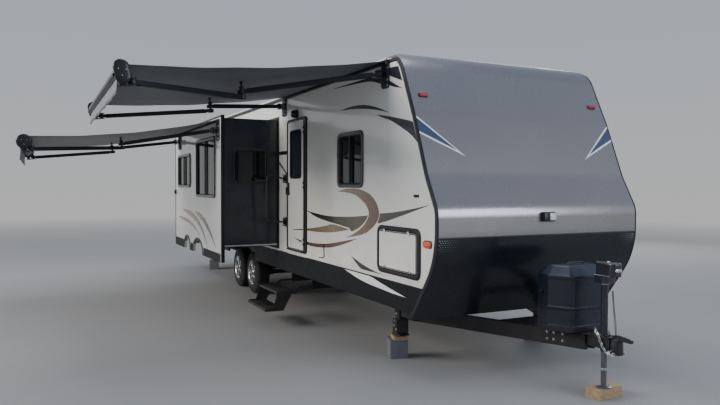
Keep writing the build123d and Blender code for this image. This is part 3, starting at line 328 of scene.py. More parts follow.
surface("room_awning_vinyl", (0.19, 0.185, 0.19), (0.165, 0.163, 0.17), 2.0, rough=(0.5, 0.62), spec=0.35, sheen=0.15,
        bumps=(("weave", 420, 0.0004, 0.35), ("noise", 3.5, 0.004, 0.25)),
        paint=fade_x([(0.0, (0.19, 0.185, 0.19)), (0.80, (0.18, 0.176, 0.185)), (1.0, (0.12, 0.12, 0.13))], -7.3, -4.4))
# valance: colour darkened to a grey-blue for the shade it hangs in, painted shade
surface("valance_vinyl", (0.22, 0.225, 0.25), (0.19, 0.195, 0.22), 3.0, rough=(0.5, 0.62),
        bumps=(("weave", 420, 0.0004, 0.35), ("noise", 6, 0.003, 0.25)))
surface("hem_vinyl", (0.05, 0.055, 0.07), (0.075, 0.08, 0.095), 3.0, rough=(0.5, 0.62), sheen=0.1,
        bumps=(("weave", 420, 0.0004, 0.35),))
surface("wound_vinyl", (0.12, 0.125, 0.14), (0.09, 0.095, 0.11), 3.0, rough=(0.5, 0.62),
        bumps=(("weave", 420, 0.0004, 0.35),))
# stripes: vinyl film on the walls
surface("film_olive", (0.06, 0.06, 0.05), rough=(0.2, 0.3), coat=0.3,
        paint=fade_x([(0.0, (0.008, 0.009, 0.012)), (0.22, (0.022, 0.022, 0.018)), (0.5, (0.105, 0.096, 0.055)),
                      (0.72, (0.062, 0.060, 0.048)), (1.0, (0.028, 0.030, 0.036))], -3.144, -0.135))
surface("film_copper", (0.30, 0.17, 0.10), rough=(0.2, 0.3), coat=0.3, metal=0.15,
        paint=fade_x([(0.0, (0.42, 0.345, 0.26)), (0.35, (0.28, 0.205, 0.14)), (0.75, (0.19, 0.125, 0.082)),
                      (1.0, (0.135, 0.088, 0.06))], -2.191, -1.111))
surface("film_tan", (0.42, 0.33, 0.22), rough=(0.2, 0.3), coat=0.3, metal=0.1,
        paint=fade_x([(0.0, (0.085, 0.06, 0.042)), (0.35, (0.18, 0.14, 0.09)), (0.75, (0.25, 0.21, 0.135)),
                      (1.0, (0.15, 0.105, 0.064))], -3.676, -1.852))
surface("film_brown", (0.14, 0.08, 0.06), rough=(0.2, 0.3), coat=0.3,
        paint=fade_x([(0.0, (0.045, 0.03, 0.028)), (0.5, (0.105, 0.052, 0.042)), (1.0, (0.155, 0.075, 0.055))], -3.597, -1.657))
surface("film_dark", (0.018, 0.020, 0.030), (0.026, 0.028, 0.036), rough=(0.2, 0.3), coat=0.3)
surface("film_grey", (0.045, 0.046, 0.046), (0.06, 0.06, 0.058), rough=(0.2, 0.3), coat=0.3)
surface("film_white", (0.82, 0.84, 0.86), (0.78, 0.80, 0.83), rough=(0.2, 0.3), coat=0.3)
surface("film_blue", (0.035, 0.062, 0.125), (0.045, 0.078, 0.15), rough=(0.2, 0.3), coat=0.5,
        paint=fade_z([(0.0, (0.05, 0.08, 0.15)), (1.0, (0.028, 0.052, 0.115))], 2.1, 2.48))
surface("film_arc", (0.36, 0.27, 0.17), rough=(0.2, 0.3), coat=0.3, metal=0.1,
        paint=fade_x([(0.0, (0.30, 0.235, 0.16)), (0.55, (0.33, 0.245, 0.15)), (0.80, (0.12, 0.12, 0.145)),
                      (1.0, (0.03, 0.05, 0.105))], -7.5, -4.6))
surface("sealant", (0.60, 0.60, 0.58), (0.48, 0.48, 0.46), 8.0, rough=(0.5, 0.65), bumps=(("noise", 40, 0.003, 0.5),))
surface("dust_seal", (0.018, 0.018, 0.02), (0.03, 0.03, 0.031), 8.0, rough=(0.6, 0.75), bumps=(("noise", 90, 0.001, 0.4),))
surface("bright_strip", (0.62, 0.63, 0.64), (0.5, 0.51, 0.52), 10, (1, 12, 12), rough=(0.24, 0.36), metal=0.85,
        bumps=(("grain", 20, 0.0003, 0.3),))
surface("fitting_white", (0.72, 0.72, 0.70), (0.66, 0.66, 0.64), 6.0, rough=(0.3, 0.42), edge=0.004,
        bumps=(("noise", 160, 0.0004, 0.25),))
surface("paper_grey", (0.30, 0.31, 0.32), (0.26, 0.27, 0.28), 6.0, rough=(0.3, 0.42), coat=0.2)
surface("studio_floor", (0.30, 0.30, 0.30), (0.285, 0.286, 0.29), 0.6, rough=(0.85, 0.95), spec=0.05,
        bumps=(("noise", 30, 0.002, 0.12),))

FINISH = {
    "front_cap_upper": "pewter_cap", "front_cap_lower": "black_cap", "roof_panel": "roof_sheet",
    "rear_wall": "wall_gelcoat", "wall_right": "wall_gelcoat", "wall_left": "wall_gelcoat", "floor_panel": "floor_board",
    "body_skirts": "skirt_plastic", "window_frames": "trim_rubber", "window_panes": "dark_glass",
    "door_frames": "gloss_trim", "entry_door": "door_gelcoat", "entry_door_pane": "door_glass",
    "baggage_door_right": "door_gelcoat", "baggage_door_left": "door_gelcoat", "chassis_frame": "chassis_paint",
    "coupler": "chassis_paint", "axles_and_springs": "axle_iron", "concrete_blocks": "cast_block",
    "wood_blocks": "sawn_timber", "drawbar_jack": "jack_powder", "drawbar_jack_leg": "grey_tube",
    "gas_bottle_cover": "cover_plastic", "rear_bumper": "bumper_paint", "air_conditioner": "unit_plastic",
    "roof_vents": "unit_plastic", "lamps": "lens", "room_outer_wall": "room_gelcoat",
    "room_end_walls": "room_end_laminate", "room_roof_and_floor": "roof_sheet", "room_window_frames": "trim_rubber",
    "room_window_panes": "dark_glass", "entry_steps": "step_powder", "grab_handle": "grip_rubber",
}
for n, o in NODES.items():
    if n.startswith(("awning_", "room_awning_")):
        key = "arm_metal"
    elif n.startswith("tyre_"):
        key = "tyre_rubber"
    elif n.startswith("rim_"):
        key = "alloy_pocket"
    elif n.startswith("stabiliser"):
        key = "chassis_paint"
    else:
        key = FINISH[n]
    o.data.materials.clear()
    o.data.materials.append(MATS[key])


# ---------------------------------------------------------------- mesh helpers
def put(name, bm, mat, body, angle=32, bevel=0.0, seg=2, doubles=1e-5):
    if doubles:
        bmesh.ops.remove_doubles(bm, verts=bm.verts, dist=doubles)
    bmesh.ops.dissolve_degenerate(bm, edges=bm.edges, dist=1e-6)
    bmesh.ops.recalc_face_normals(bm, faces=bm.faces)
    me = bpy.data.meshes.new(name)
    bm.to_mesh(me)
    bm.free()
    me.materials.append(MATS[mat])
    for p in me.polygons:
        p.use_smooth = True
    me.set_sharp_from_angle(angle=math.radians(angle))
    o = bpy.data.objects.new(name, me)
    bpy.context.scene.collection.objects.link(o)
    if bevel:
        b = o.modifiers.new("Bevel", "BEVEL")
        b.width = bevel
        b.segments = seg
        b.limit_method = "ANGLE"
        b.angle_limit = math.radians(38)
        b.use_clamp_overlap = True
    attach(o, body)
    return o


def rings(bm, rows, ring=True, cap=True, loop=False):
    vs = [[bm.verts.new(p) for p in r] for r in rows]
    n = len(vs[0])
    pairs = list(zip(vs, vs[1:]))
    if loop:
        pairs.append((vs[-1], vs[0]))
    for a, b in pairs:
        for i in range(n if ring else n - 1):
            bm.faces.new((a[i], a[(i + 1) % n], b[(i + 1) % n], b[i]))
    if cap and not loop:
        bm.faces.new(list(reversed(vs[0])))
        bm.faces.new(vs[-1])


def box(bm, x0, x1, y0, y1, z0, z1, turn=None, about=None):
    vs = []
    for x in (x0, x1):
        for y in (y0, y1):
            for z in (z0, z1):
                p = N(x, y, z)
                if turn is not None:
                    c = N(*about)
                    p = c + turn @ (p - c)
                vs.append(bm.verts.new(p))
    for f in ((0, 1, 3, 2), (4, 6, 7, 5), (0, 4, 5, 1), (2, 3, 7, 6), (0, 2, 6, 4), (1, 5, 7, 3)):
        bm.faces.new([vs[i] for i in f])


def rrect(u0, u1, v0, v1, r, n=6):
    out = []
    for cu, cv, a0 in ((u1 - r, v1 - r, 0), (u0 + r, v1 - r, 90), (u0 + r, v0 + r, 180), (u1 - r, v0 + r, 270)):
        for i in range(n + 1):
            a = math.radians(a0 + 90 * i / n)
            out.append((cu + r * math.cos(a), cv + r * math.sin(a)))
    return out


def on_y(side, base):
    """Map for plates on a wall that faces side along y: u = x, v = z, w = out of the wall."""
    return lambda u, v, w: N(u, side * (abs(base) + w), v)


def on_x(base, out=1):
    return lambda u, v, w: N(base + out * w, u, v)


def on_z(base):
    return lambda u, v, w: N(u, v, base + w)


def slab(bm, outline, f, w0, w1, round_edge=0.0):
    """Closed plate on the outline, its outer rim rounded."""
    rows = [[f(u, v, w0) for u, v in outline]]
    if round_edge:
        cu = sum(p[0] for p in outline) / len(outline)
        cv = sum(p[1] for p in outline) / len(outline)
        for k in range(4):
            a = math.radians(90 * k / 3)
            d = round_edge * (1 - math.cos(a))
            h = w1 - round_edge + round_edge * math.sin(a)
            row = []
            for u, v in outline:
                du, dv = u - cu, v - cv
                length = math.hypot(du, dv) or 1
                row.append(f(u - du / length * d, v - dv / length * d, h))
            rows.append(row)
    else:
        rows.append([f(u, v, w1) for u, v in outline])
    rings(bm, rows)


def frame_ring(bm, box4, r, f, section, n=7):
    """A section swept round a rounded rectangle. section: rows of distance out from the rectangle, height off the wall."""
    u0, u1, v0, v1 = box4
    rows = []
    for d, w in section:
        rows.append([f(u, v, w) for u, v in rrect(u0 - d, u1 + d, v0 - d, v1 + d, max(r + d, 0.004), n)])
    rings(bm, rows, cap=False, loop=True)


def turn_to(a):
    """Two unit vectors across a."""
    a = Vector(a).normalized()
    s = Vector((0, 0, 1)) if abs(a.z) < 0.9 else Vector((1, 0, 0))
    u = a.cross(s).normalized()
    return u, a.cross(u).normalized()


def tube(bm, pts, r, n=12, cap=True, loop=False):
    pts = [Vector(p) for p in pts]
    rows = []
    u = None
    m = len(pts)
    for i, p in enumerate(pts):
        if loop:
            t = (pts[(i + 1) % m] - pts[i - 1]).normalized()
        else:
            t = (pts[min(i + 1, m - 1)] - pts[max(i - 1, 0)]).normalized()
        if u is None:
            u, _ = turn_to(t)
        u = (u - t * u.dot(t)).normalized()
        v = t.cross(u)
        rad = r[i] if isinstance(r, (list, tuple)) else r
        rows.append([p + (u * math.cos(2 * math.pi * k / n) + v * math.sin(2 * math.pi * k / n)) * rad for k in range(n)])
    rings(bm, rows, cap=cap and not loop, loop=loop)


def lathe(bm, prof, origin, ax, n=32):
    """Turned shape: prof is rows of radius, height along ax."""
    ax = Vector(ax).normalized()
    u, v = turn_to(ax)
    o = Vector(origin)
    rows = [[o + ax * h + (u * math.cos(2 * math.pi * k / n) + v * math.sin(2 * math.pi * k / n)) * max(r, 1e-5)
             for k in range(n)] for r, h in prof]
    rings(bm, rows)


def bolt(bm, at, ax, r, h):
    """Hexagon head on a washer."""
    lathe(bm, [(r * 1.45, -0.001), (r * 1.45, h * 0.22), (r * 1.38, h * 0.28)], at, ax, 20)
    lathe(bm, [(r * 1.05, h * 0.1), (r * 1.05, h * 0.9), (r * 0.9, h)], at, ax, 6)


def rivet(bm, at, ax, r, h):
    lathe(bm, [(r, -0.0006), (r, h * 0.3), (r * 0.8, h * 0.75), (r * 0.35, h)], at, ax, 10)


def smooth_line(pts, n):
    """Points along a Catmull-Rom run through pts."""
    p = [Vector((*q, 0)) if len(q) == 2 else Vector(q) for q in pts]
    p = [p[0] * 2 - p[1]] + p + [p[-1] * 2 - p[-2]]
    dense = []
    for i in range(1, len(p) - 2):
        for k in range(16):
            t = k / 16
            a, b, c, d = p[i - 1], p[i], p[i + 1], p[i + 2]
            dense.append(0.5 * ((2 * b) + (c - a) * t + (2 * a - 5 * b + 4 * c - d) * t * t + (3 * b - a - 3 * c + d) * t ** 3))
    dense.append(p[-2])
    run = [0.0]
    for a, b in zip(dense, dense[1:]):
        run.append(run[-1] + (b - a).length)
    out = []
    j = 0
    for i in range(n):
        s = run[-1] * i / (n - 1)
        while j < len(run) - 2 and run[j + 1] < s:
            j += 1
        t = (s - run[j]) / max(run[j + 1] - run[j], 1e-9)
        out.append(dense[j].lerp(dense[j + 1], min(max(t, 0), 1)))
    return [(q.x, q.y) for q in out]


def film(bm, up, lo, f, w=0.0012, n=40, m=1, under=0.0004):
    """A closed sheet between two edges, laid on the surface that f maps to."""
    a, b = smooth_line(up, n), smooth_line(lo, n)
    top, low = [], []
    for (ua, va), (ub, vb) in zip(a, b):
        top.append([(ua + (ub - ua) * k / m, va + (vb - va) * k / m) for k in range(m + 1)])
    rows = []
    for row in top:
        rows.append([f(u, v, w) for u, v in row] + [f(u, v, -under) for u, v in reversed(row)])
    rings(bm, rows)


def grow(up, lo, d):
    """The two edges moved apart by d, with the tips drawn out a little."""
    n = 28
    a, b = smooth_line(up, n), smooth_line(lo, n)
    oa, ob = [], []
    for i in range(n):
        j, k = max(i - 1, 0), min(i + 1, n - 1)
        for src, out, sign in ((a, oa, 1), (b, ob, -1)):
            tx, tz = src[k][0] - src[j][0], src[k][1] - src[j][1]
            length = math.hypot(tx, tz) or 1
            nx, nz = -tz / length, tx / length
            out.append([src[i][0] + nx * d * sign, src[i][1] + nz * d * sign])
    return [tuple(q) for q in oa], [tuple(q) for q in ob]


# ---------------------------------------------------------------- the side profile
def fillet(pts, seg=10):
    out = []
    for i, (x, z, r) in enumerate(pts):
        if r == 0 or i in (0, len(pts) - 1):
            out.append(Vector((x, z)))
            continue
        p = Vector((x, z))
        a = (Vector(pts[i - 1][:2]) - p).normalized()
        b = (Vector(pts[i + 1][:2]) - p).normalized()
        half = a.angle(b) / 2
        t = r / math.tan(half)
        c = p + (a + b).normalized() * (r / math.sin(half))
        p0, p1 = p + a * t, p + b * t
        a0 = math.atan2(p0.y - c.y, p0.x - c.x)
        a1 = math.atan2(p1.y - c.y, p1.x - c.x)
        d = (a1 - a0 + math.pi) % (2 * math.pi) - math.pi
        for k in range(seg + 1):
            g = a0 + d * k / seg
            out.append(Vector((c.x + r * math.cos(g), c.y + r * math.sin(g))))
    return out


FRONT = fillet(PROFILE, 16)
FZ = np.array([p.y for p in FRONT])
FX = np.array([p.x for p in FRONT])


def cap_x(z):
    return float(np.interp(z, FZ, FX))


def on_cap(u, v, w):
    """u = y, v = z on the front cap, w off its surface."""
    x0, x1 = cap_x(v - 0.004), cap_x(v + 0.004)
    n = Vector((0.008, 0, x0 - x1)).normalized()
    return N(cap_x(v), u, v) + n * w


def dense(points, step):
    """More points along straight runs."""
    out = [points[0]]
    for a, b in zip(points, points[1:]):
        k = max(1, int(round((b - a).length / step)))
        for i in range(1, k + 1):
            out.append(a.lerp(b, i / k))
    return out


def along_profile(bm, path, side, section):
    """A section swept along a path in x and z at the wall's edge. section: rows of y out from the wall, height over the path."""
    rows = []
    m = len(path)
    for i, p in enumerate(path):
        t = (path[min(i + 1, m - 1)] - path[max(i - 1, 0)]).normalized()
        n = Vector((t.y, -t.x))
        if n.x < 0 and abs(t.y) > 0.2 and p.x > -5:
            n = -n
        if abs(t.y) <= 0.2 and n.y < 0 and p.y > 2:
            n = -n
        rows.append([N(p.x + n.x * h, side * (HALF_W + w), p.y + n.y * h) for w, h in section])
    rings(bm, rows)


# ---------------------------------------------------------------- edge mouldings of the body
EDGE_Z = ROOF_Z - 0.068
BEND = [Vector((-0.7134, 3.070)), Vector((-0.7312, EDGE_Z)), Vector((-0.7712, EDGE_Z))]
EDGE = [q for q in FRONT if q.y < 3.066]
EDGE += [BEND[0] * (1 - t) ** 2 + BEND[1] * 2 * t * (1 - t) + BEND[2] * t * t for t in (0, 0.25, 0.5, 0.75, 1)]
EDGE_PATH = dense(EDGE + [Vector((REAR, EDGE_Z))], 0.5)
L_SECTION = [(-0.0006, -0.036), (0.0050, -0.036), (0.0066, -0.033), (0.0072, -0.020), (0.0070, -0.006), (0.0056, 0.0010),
             (0.0020, 0.0036), (-0.002, 0.0042), (-0.008, 0.0040), (-0.010, 0.0022), (-0.010, -0.0006), (-0.0006, -0.0006)]
SCREW_LINE = [(0.0070, -0.026), (0.0086, -0.0245), (0.0090, -0.021), (0.0086, -0.0175), (0.0068, -0.016), (0.004, -0.018),
              (0.004, -0.024)]
for side, tag in ((-1, "right"), (1, "left")):
    bm = bmesh.new()
    along_profile(bm, EDGE_PATH, side, L_SECTION)
    put(f"edge_moulding_{tag}", bm, "gloss_trim", "caravan", 40)
    bm = bmesh.new()
    along_profile(bm, EDGE_PATH, side, SCREW_LINE)
    put(f"edge_insert_{tag}", bm, "trim_rubber", "caravan", 40)
    # rear corner moulding
    bm = bmesh.new()
    section = [(0.0, 0.0), (0.0065, -0.001), (0.0075, 0.006), (0.0068, 0.034), (0.005, 0.038), (-0.0005, 0.038),
               (-0.0005, 0.0005), (-0.034, -0.0005), (-0.034, -0.005), (-0.03, -0.0068), (0.0, -0.0072)]
    rings(bm, [[N(REAR + h, side * (HALF_W + w), z) for w, h in section] for z in (0.873, 1.6, 2.3, 3.0, 3.090)])
    put(f"rear_corner_moulding_{tag}", bm, "gloss_trim", "caravan", 40)
    # drip rail under the roof edge, and the strip that closes the wall's lower edge
    bm = bmesh.new()
    rings(bm, [[N(x, side * (HALF_W + w), z) for w, z in ((-0.0006, 3.034), (0.005, 3.034), (0.0125, 3.040),
               (0.0135, 3.047), (0.011, 3.047), (0.0055, 3.044), (0.004, 3.050), (-0.0006, 3.050))]
               for x in (-4.15 if side < 0 else -0.75, -9.0, REAR + 0.06)])
    put(f"drip_rail_{tag}", bm, "trim_rubber", "caravan", 30)
    bm = bmesh.new()
    spans = ((-0.245, -3.16), (-3.90, -4.23), (-7.72, REAR + 0.02)) if side < 0 else ((-0.245, REAR + 0.02),)
    for xa, xb in spans:
        rings(bm, [[N(x, side * (HALF_W + w), z) for w, z in ((-0.0006, 0.866), (0.0045, 0.866), (0.0060, 0.869),
                   (0.0060, 0.876), (0.0040, 0.879), (-0.0006, 0.879))] for x in (xa, xb)])
    put(f"lower_edge_strip_{tag}", bm, "gloss_trim", "caravan", 30)

# rear top moulding and the joint of the two caps
bm = bmesh.new()
rings(bm, [[N(REAR + x, y, z) for x, z in ((0.03, 3.152), (0.03, 3.1555), (-0.004, 3.152), (-0.0065, 3.124), (-0.0065, 3.099),
           (-0.001, 3.097))] for y in np.linspace(-1.15, 1.15, 9)])
put("rear_top_moulding", bm, "gloss_trim", "caravan")
bm = bmesh.new()
for y0, y1 in ((-1.216, 1.216),):
    rows = []
    for y in np.linspace(y0, y1, 25):
        rows.append([on_cap(y, CAP_SPLIT + dz, w) for dz, w in ((-0.016, -0.0006), (-0.015, 0.0025), (-0.009, 0.0042),
                     (0.0, 0.0048), (0.004, 0.0036), (0.005, -0.0006))])
    rings(bm, rows)
put("cap_joint_bead", bm, "trim_rubber", "caravan", 40)

# ---------------------------------------------------------------- window frames: rounded clamp rings, gaskets
RING = [(0.026, -0.0006), (0.026, 0.012), (0.024, 0.0165), (0.018, 0.0185), (-0.002, 0.0172), (-0.013, 0.0158),
        (-0.0185, 0.0120), (-0.0190, -0.004), (0.0, -0.004)]
GASKET = [(-0.0175, 0.004), (-0.0175, -0.012), (-0.0235, -0.0155), (-0.028, -0.012), (-0.0255, -0.003), (-0.021, 0.0035)]


def window_set(name, mapper, windows, body, radius=0.055):
    bm = bmesh.new()
    for b in windows:
        frame_ring(bm, b, radius, mapper, RING)
    put(name + "_rings", bm, "ring_trim", body, 30)
    bm = bmesh.new()
    for b in windows:
        frame_ring(bm, b, radius, mapper, GASKET)
    put(name + "_gaskets", bm, "dust_seal", body, 30)


window_set("right_window", on_y(-1, HALF_W), [w[1:] for w in WINDOWS if w[0] < 0], "caravan")
window_set("left_window", on_y(1, HALF_W), [w[1:] for w in WINDOWS if w[0] > 0], "caravan")
window_set("rear_window", on_x(REAR, -1), [(-0.52, 0.52, 1.90, 2.38)], "caravan")
window_set("room_window", on_y(-1, ROOM_OUT), ROOM_WINDOWS, "room")
bm = bmesh.new()
frame_ring(bm, (-1.885, -1.373, 1.87, 2.33), 0.05, on_x(ROOM_X1), [(0.022, -0.0006), (0.022, 0.008), (0.019, 0.0112),
           (-0.012, 0.0108), (-0.0165, 0.008), (-0.017, -0.004), (0, -0.004)])
put("room_end_window_ring", bm, "trim_rubber", "room", 30)
# a sliding sash in each opening window: stiles and rails on the glass
bm = bmesh.new()
for side, x0, x1, z0, z1 in WINDOWS:
    f = on_y(side, HALF_W)
    xm = (x0 + x1) / 2
    for a, b in (((x0 + 0.022), (xm - 0.011)), ((xm + 0.011), (x1 - 0.022))):
        frame_ring(bm, (a, b, z0 + 0.022, z1 - 0.022), 0.034, f, [(0.0, -0.0165), (0.0, -0.012), (-0.003, -0.011),
                   (-0.006, -0.012), (-0.007, -0.0165)], 5)
put("sash_frames", bm, "gloss_trim", "caravan", 30)
bm = bmesh.new()
for x0, x1, z0, z1 in ROOM_WINDOWS:
    f = on_y(-1, ROOM_OUT)
    xm = (x0 + x1) / 2
    for a, b in (((x0 + 0.022), (xm - 0.011)), ((xm + 0.011), (x1 - 0.022))):
        frame_ring(bm, (a, b, z0 + 0.022, z1 - 0.022), 0.034, f, [(0.0, -0.0145), (0.0, -0.010), (-0.003, -0.009),
                   (-0.006, -0.010), (-0.007, -0.0145)], 5)
put("room_sash_frames", bm, "gloss_trim", "room", 30)

# ---------------------------------------------------------------- entry door: window ring, lock, sill
f = on_y(-1, HALF_W)
bm = bmesh.new()
frame_ring(bm, PANE, 0.04, f, [(0.020, 0.0174), (0.020, 0.024), (0.016, 0.0275), (0.0, 0.027), (-0.010, 0.024),
           (-0.014, 0.018), (-0.014, 0.0030), (-0.002, 0.0030), (-0.002, 0.0174)])
put("door_window_ring", bm, "gloss_trim", "entry_door", 30)
bm = bmesh.new()
lx, lz = -3.797, 1.776
slab(bm, rrect(lx - 0.034, lx + 0.034, lz - 0.088, lz + 0.088, 0.014), f, 0.0174, 0.034, 0.006)
slab(bm, rrect(lx - 0.023, lx + 0.023, lz - 0.030, lz + 0.034, 0.008), f, 0.030, 0.052, 0.006)
slab(bm, rrect(lx - 0.012, lx + 0.012, lz - 0.076, lz + 0.02, 0.006), f, 0.045, 0.062, 0.004)
put("door_lock_case", bm, "gloss_trim", "entry_door", 35)
bm = bmesh.new()
for dz in (-0.052, 0.06):
    lathe(bm, [(0.012, 0.0), (0.012, 0.005), (0.0105, 0.0066), (0.002, 0.0066)], f(lx, lz + dz, 0.033), (0, -1, 0), 24)
    box(bm, lx - 0.0012, lx + 0.0012, -HALF_W - 0.0405, -HALF_W - 0.0385, lz + dz - 0.006, lz + dz + 0.006)
put("door_lock_cylinders", bm, "chrome", "entry_door", 35)
bm = bmesh.new()
frame_ring(bm, (-3.831, -3.233, 0.957, 2.703), 0.04, f, [(0.0, 0.0174), (-0.001, 0.0208), (-0.004, 0.0214),
           (-0.008, 0.0202), (-0.009, 0.0174)])
put("door_leaf_rim", bm, "gloss_trim", "entry_door", 30)
bm = bmesh.new()
frame_ring(bm, (-3.868, -3.144, 0.928, 2.732), 0.062, f, [(0.004, -0.0006), (0.004, 0.016), (0.0, 0.0222), (-0.010, 0.0242),
           (-0.0165, 0.0226), (-0.0172, 0.0195), (-0.0170, 0.010), (-0.0170, -0.0006)])
put("door_frame_roll", bm, "gloss_trim", "caravan", 30)
bm = bmesh.new()
rings(bm, [[N(x, -HALF_W - w, z) for w, z in ((0.018, 0.948), (0.034, 0.946), (0.044, 0.940), (0.046, 0.934), (0.030, 0.930),
           (0.018, 0.930))] for x in (-3.83, -3.234)])
put("door_sill", bm, "gloss_trim", "caravan", 30)
# hinge covers: rounded caps over the three knuckle groups, on the frame side only
bm = bmesh.new()
for z in (1.08, 1.83, 2.56):
    for dz in (-0.040, 0.040):
        lathe(bm, [(0.0035, -0.006), (0.0075, -0.0045), (0.0080, 0.0), (0.0075, 0.0045), (0.0035, 0.006)],
              N(-3.222, -HALF_W - 0.0275, z + dz * 1.18), (0, 0, 1), 16)
put("door_hinge_finials", bm, "zinc", "caravan", 40)

# ---------------------------------------------------------------- baggage doors: rolled rims, latches
for side, x0, x1, z0, z1 in HATCHES:
    tag = "right" if side < 0 else "left"
    f = on_y(side, HALF_W)
    bm = bmesh.new()
    outer, inner = (x0 - 0.002, x1 + 0.029, z0 - 0.017, z1 + 0.017), (x0 + 0.0245, x1 - 0.0245, z0 + 0.0245, z1 - 0.0245)
    rows = []
    for t, w in ((0.0, -0.0006), (0.0, 0.009), (0.12, 0.0155), (0.4, 0.0192), (0.8, 0.0190), (1.0, 0.0165), (1.0, -0.0006)):
        b4 = [o * (1 - t) + i * t for o, i in zip(outer, inner)]
        rows.append([f(u, v, w) for u, v in rrect(*b4, 0.078 * (1 - t) + 0.036 * t, 7)])
    rings(bm, rows, cap=False, loop=True)
    put(f"hatch_frame_roll_{tag}", bm, "gloss_trim", "caravan", 30)
    bm = bmesh.new()
    frame_ring(bm, (x0 + 0.036, x1 - 0.036, z0 + 0.036, z1 - 0.036), 0.034, f, [(0.0, 0.0134), (-0.002, 0.0160),
               (-0.006, 0.0166), (-0.010, 0.0150), (-0.011, 0.0134)])
    put(f"hatch_leaf_rim_{tag}", bm, "trim_rubber", f"baggage_door_{tag}", 30)
    bm = bmesh.new()
    for x in (-0.951, -0.458):
        slab(bm, rrect(x - 0.021, x + 0.021, 0.996, 1.022, 0.010), f, 0.0134, 0.0195, 0.003)
        slab(bm, rrect(x - 0.013, x + 0.013, 1.003, 1.015, 0.005), f, 0.018, 0.026, 0.003)
    put(f"hatch_latches_{tag}", bm, "chrome", f"baggage_door_{tag}", 35)

# ---------------------------------------------------------------- porch lamp, small port, marker bases, cap lamp bases
bm = bmesh.new()
lathe(bm, [(0.058, -0.0006), (0.058, 0.014), (0.055, 0.022), (0.052, 0.024)], N(-3.515, -HALF_W, 2.794), (0, -1, 0), 40)
put("porch_lamp_base", bm, "gloss_trim", "caravan", 35)
bm = bmesh.new()
lathe(bm, [(0.052, 0.020), (0.054, 0.040), (0.052, 0.062), (0.042, 0.078), (0.022, 0.086), (0.004, 0.087)],
      N(-3.515, -HALF_W, 2.794), (0, -1, 0), 40)
put("porch_lamp_lens", bm, "dark_glass", "caravan", 35)
bm = bmesh.new()
slab(bm, rrect(-0.411, -0.317, 1.715, 1.743, 0.0138), on_y(-1, HALF_W), -0.0006, 0.009, 0.004)
lathe(bm, [(0.009, 0.006), (0.0085, 0.016), (0.006, 0.019), (0.001, 0.0195)], N(-0.364, -HALF_W, 1.73), (0, -1, 0), 20)
put("side_port", bm, "trim_rubber", "caravan", 35)
bm = bmesh.new()
for side in (-1, 1):
    for xa in (-0.225, REAR + 0.080):
        frame_ring(bm, (xa, xa + 0.130, 1.264, 1.323), 0.024, on_y(side, HALF_W), [(0.006, -0.0006), (0.006, 0.004),
                   (0.002, 0.008), (-0.001, 0.006), (-0.001, -0.0006)], 5)
put("marker_bases", bm, "trim_rubber", "caravan", 35)
CAPN = Vector((0.610, 0, 0.288)).normalized()
bm = bmesh.new()
for side in (-1, 1):
    fc = lambda u, v, w, s=side: (N(-0.49785, s * 1.075 + u, 2.689) + Vector((-CAPN.z, 0, CAPN.x)) * v + CAPN * w)
    frame_ring(bm, (-0.048, 0.048, -0.018, 0.018), 0.0155, fc, [(0.007, -0.002), (0.007, 0.005), (0.003, 0.009),
               (-0.001, 0.007), (-0.001, -0.002)], 5)
put("clearance_lamp_bases", bm, "trim_rubber", "caravan", 35)
# lens tops: ribbed domes over the clearance lamps and side markers
bm = bmesh.new()
for side in (-1, 1):
    fc = lambda u, v, w, s=side: (N(-0.49785, s * 1.075 + u, 2.689) + Vector((-CAPN.z, 0, CAPN.x)) * v + CAPN * w)
    slab(bm, rrect(-0.044, 0.044, -0.0145, 0.0145, 0.013), fc, 0.018, 0.027, 0.008)
    for xa in (-0.225, REAR + 0.080):
        slab(bm, rrect(xa + 0.005, xa + 0.125, 1.269, 1.318, 0.021), on_y(side, HALF_W), 0.016, 0.025, 0.008)
put("lamp_domes", bm, "lens", "caravan", 40)

# lamp box on the cap
bm = bmesh.new()
fb = lambda u, v, w: on_cap(u, v, w)
for u0, u1, v0, v1, w0, w1, r in ((-0.050, 0.110, 1.486, 1.576, -0.002, 0.030, 0.010),):
    slab(bm, rrect(u0, u1, v0, v1, r), fb, w0, w1, 0.006)
slab(bm, rrect(-0.046, 0.024, 1.492, 1.570, 0.006), fb, 0.028, 0.048, 0.006)
put("cap_lamp_case", bm, "gloss_trim", "caravan", 35)
bm = bmesh.new()
slab(bm, rrect(0.032, 0.104, 1.500, 1.562, 0.010), fb, 0.028, 0.040, 0.008)
put("cap_lamp_lens", bm, "clear_lens", "caravan", 35)
bm = bmesh.new()
frame_ring(bm, (0.032, 0.104, 1.500, 1.562), 0.010, fb, [(0.004, 0.029), (0.004, 0.036), (0.0, 0.038), (-0.003, 0.034),
           (-0.003, 0.029)], 4)
put("cap_lamp_bezel", bm, "chrome", "caravan", 35)

# ---------------------------------------------------------------- cap decoration: two blue swooshes and fading dots
for side, tag in ((-1, "right"), (1, "left")):
    up = [(side * 1.2175, 2.486), (side * 1.12, 2.408), (side * 1.0, 2.310), (side * 0.87, 2.202), (side * 0.754, 2.104)]
    lo = [(side * 1.2175, 2.315), (side * 1.12, 2.270), (side * 1.0, 2.215), (side * 0.87, 2.158), (side * 0.754, 2.1035)]
    bm = bmesh.new()
    film(bm, up, lo, on_cap, 0.0012, 36, 6)
    put(f"cap_swoosh_edge_{tag}", bm, "film_white", "caravan", 60)
    up = [(side * 1.219, 2.466), (side * 1.12, 2.386), (side * 1.0, 2.290), (side * 0.90, 2.212), (side * 0.835, 2.160)]
    lo = [(side * 1.219, 2.336), (side * 1.12, 2.290), (side * 1.0, 2.236), (side * 0.90, 2.188), (side * 0.835, 2.158)]
    bm = bmesh.new()
    film(bm, up, lo, on_cap, 0.0019, 36, 6)
    put(f"cap_swoosh_{tag}", bm, "film_blue", "caravan", 60)
bm = bmesh.new()
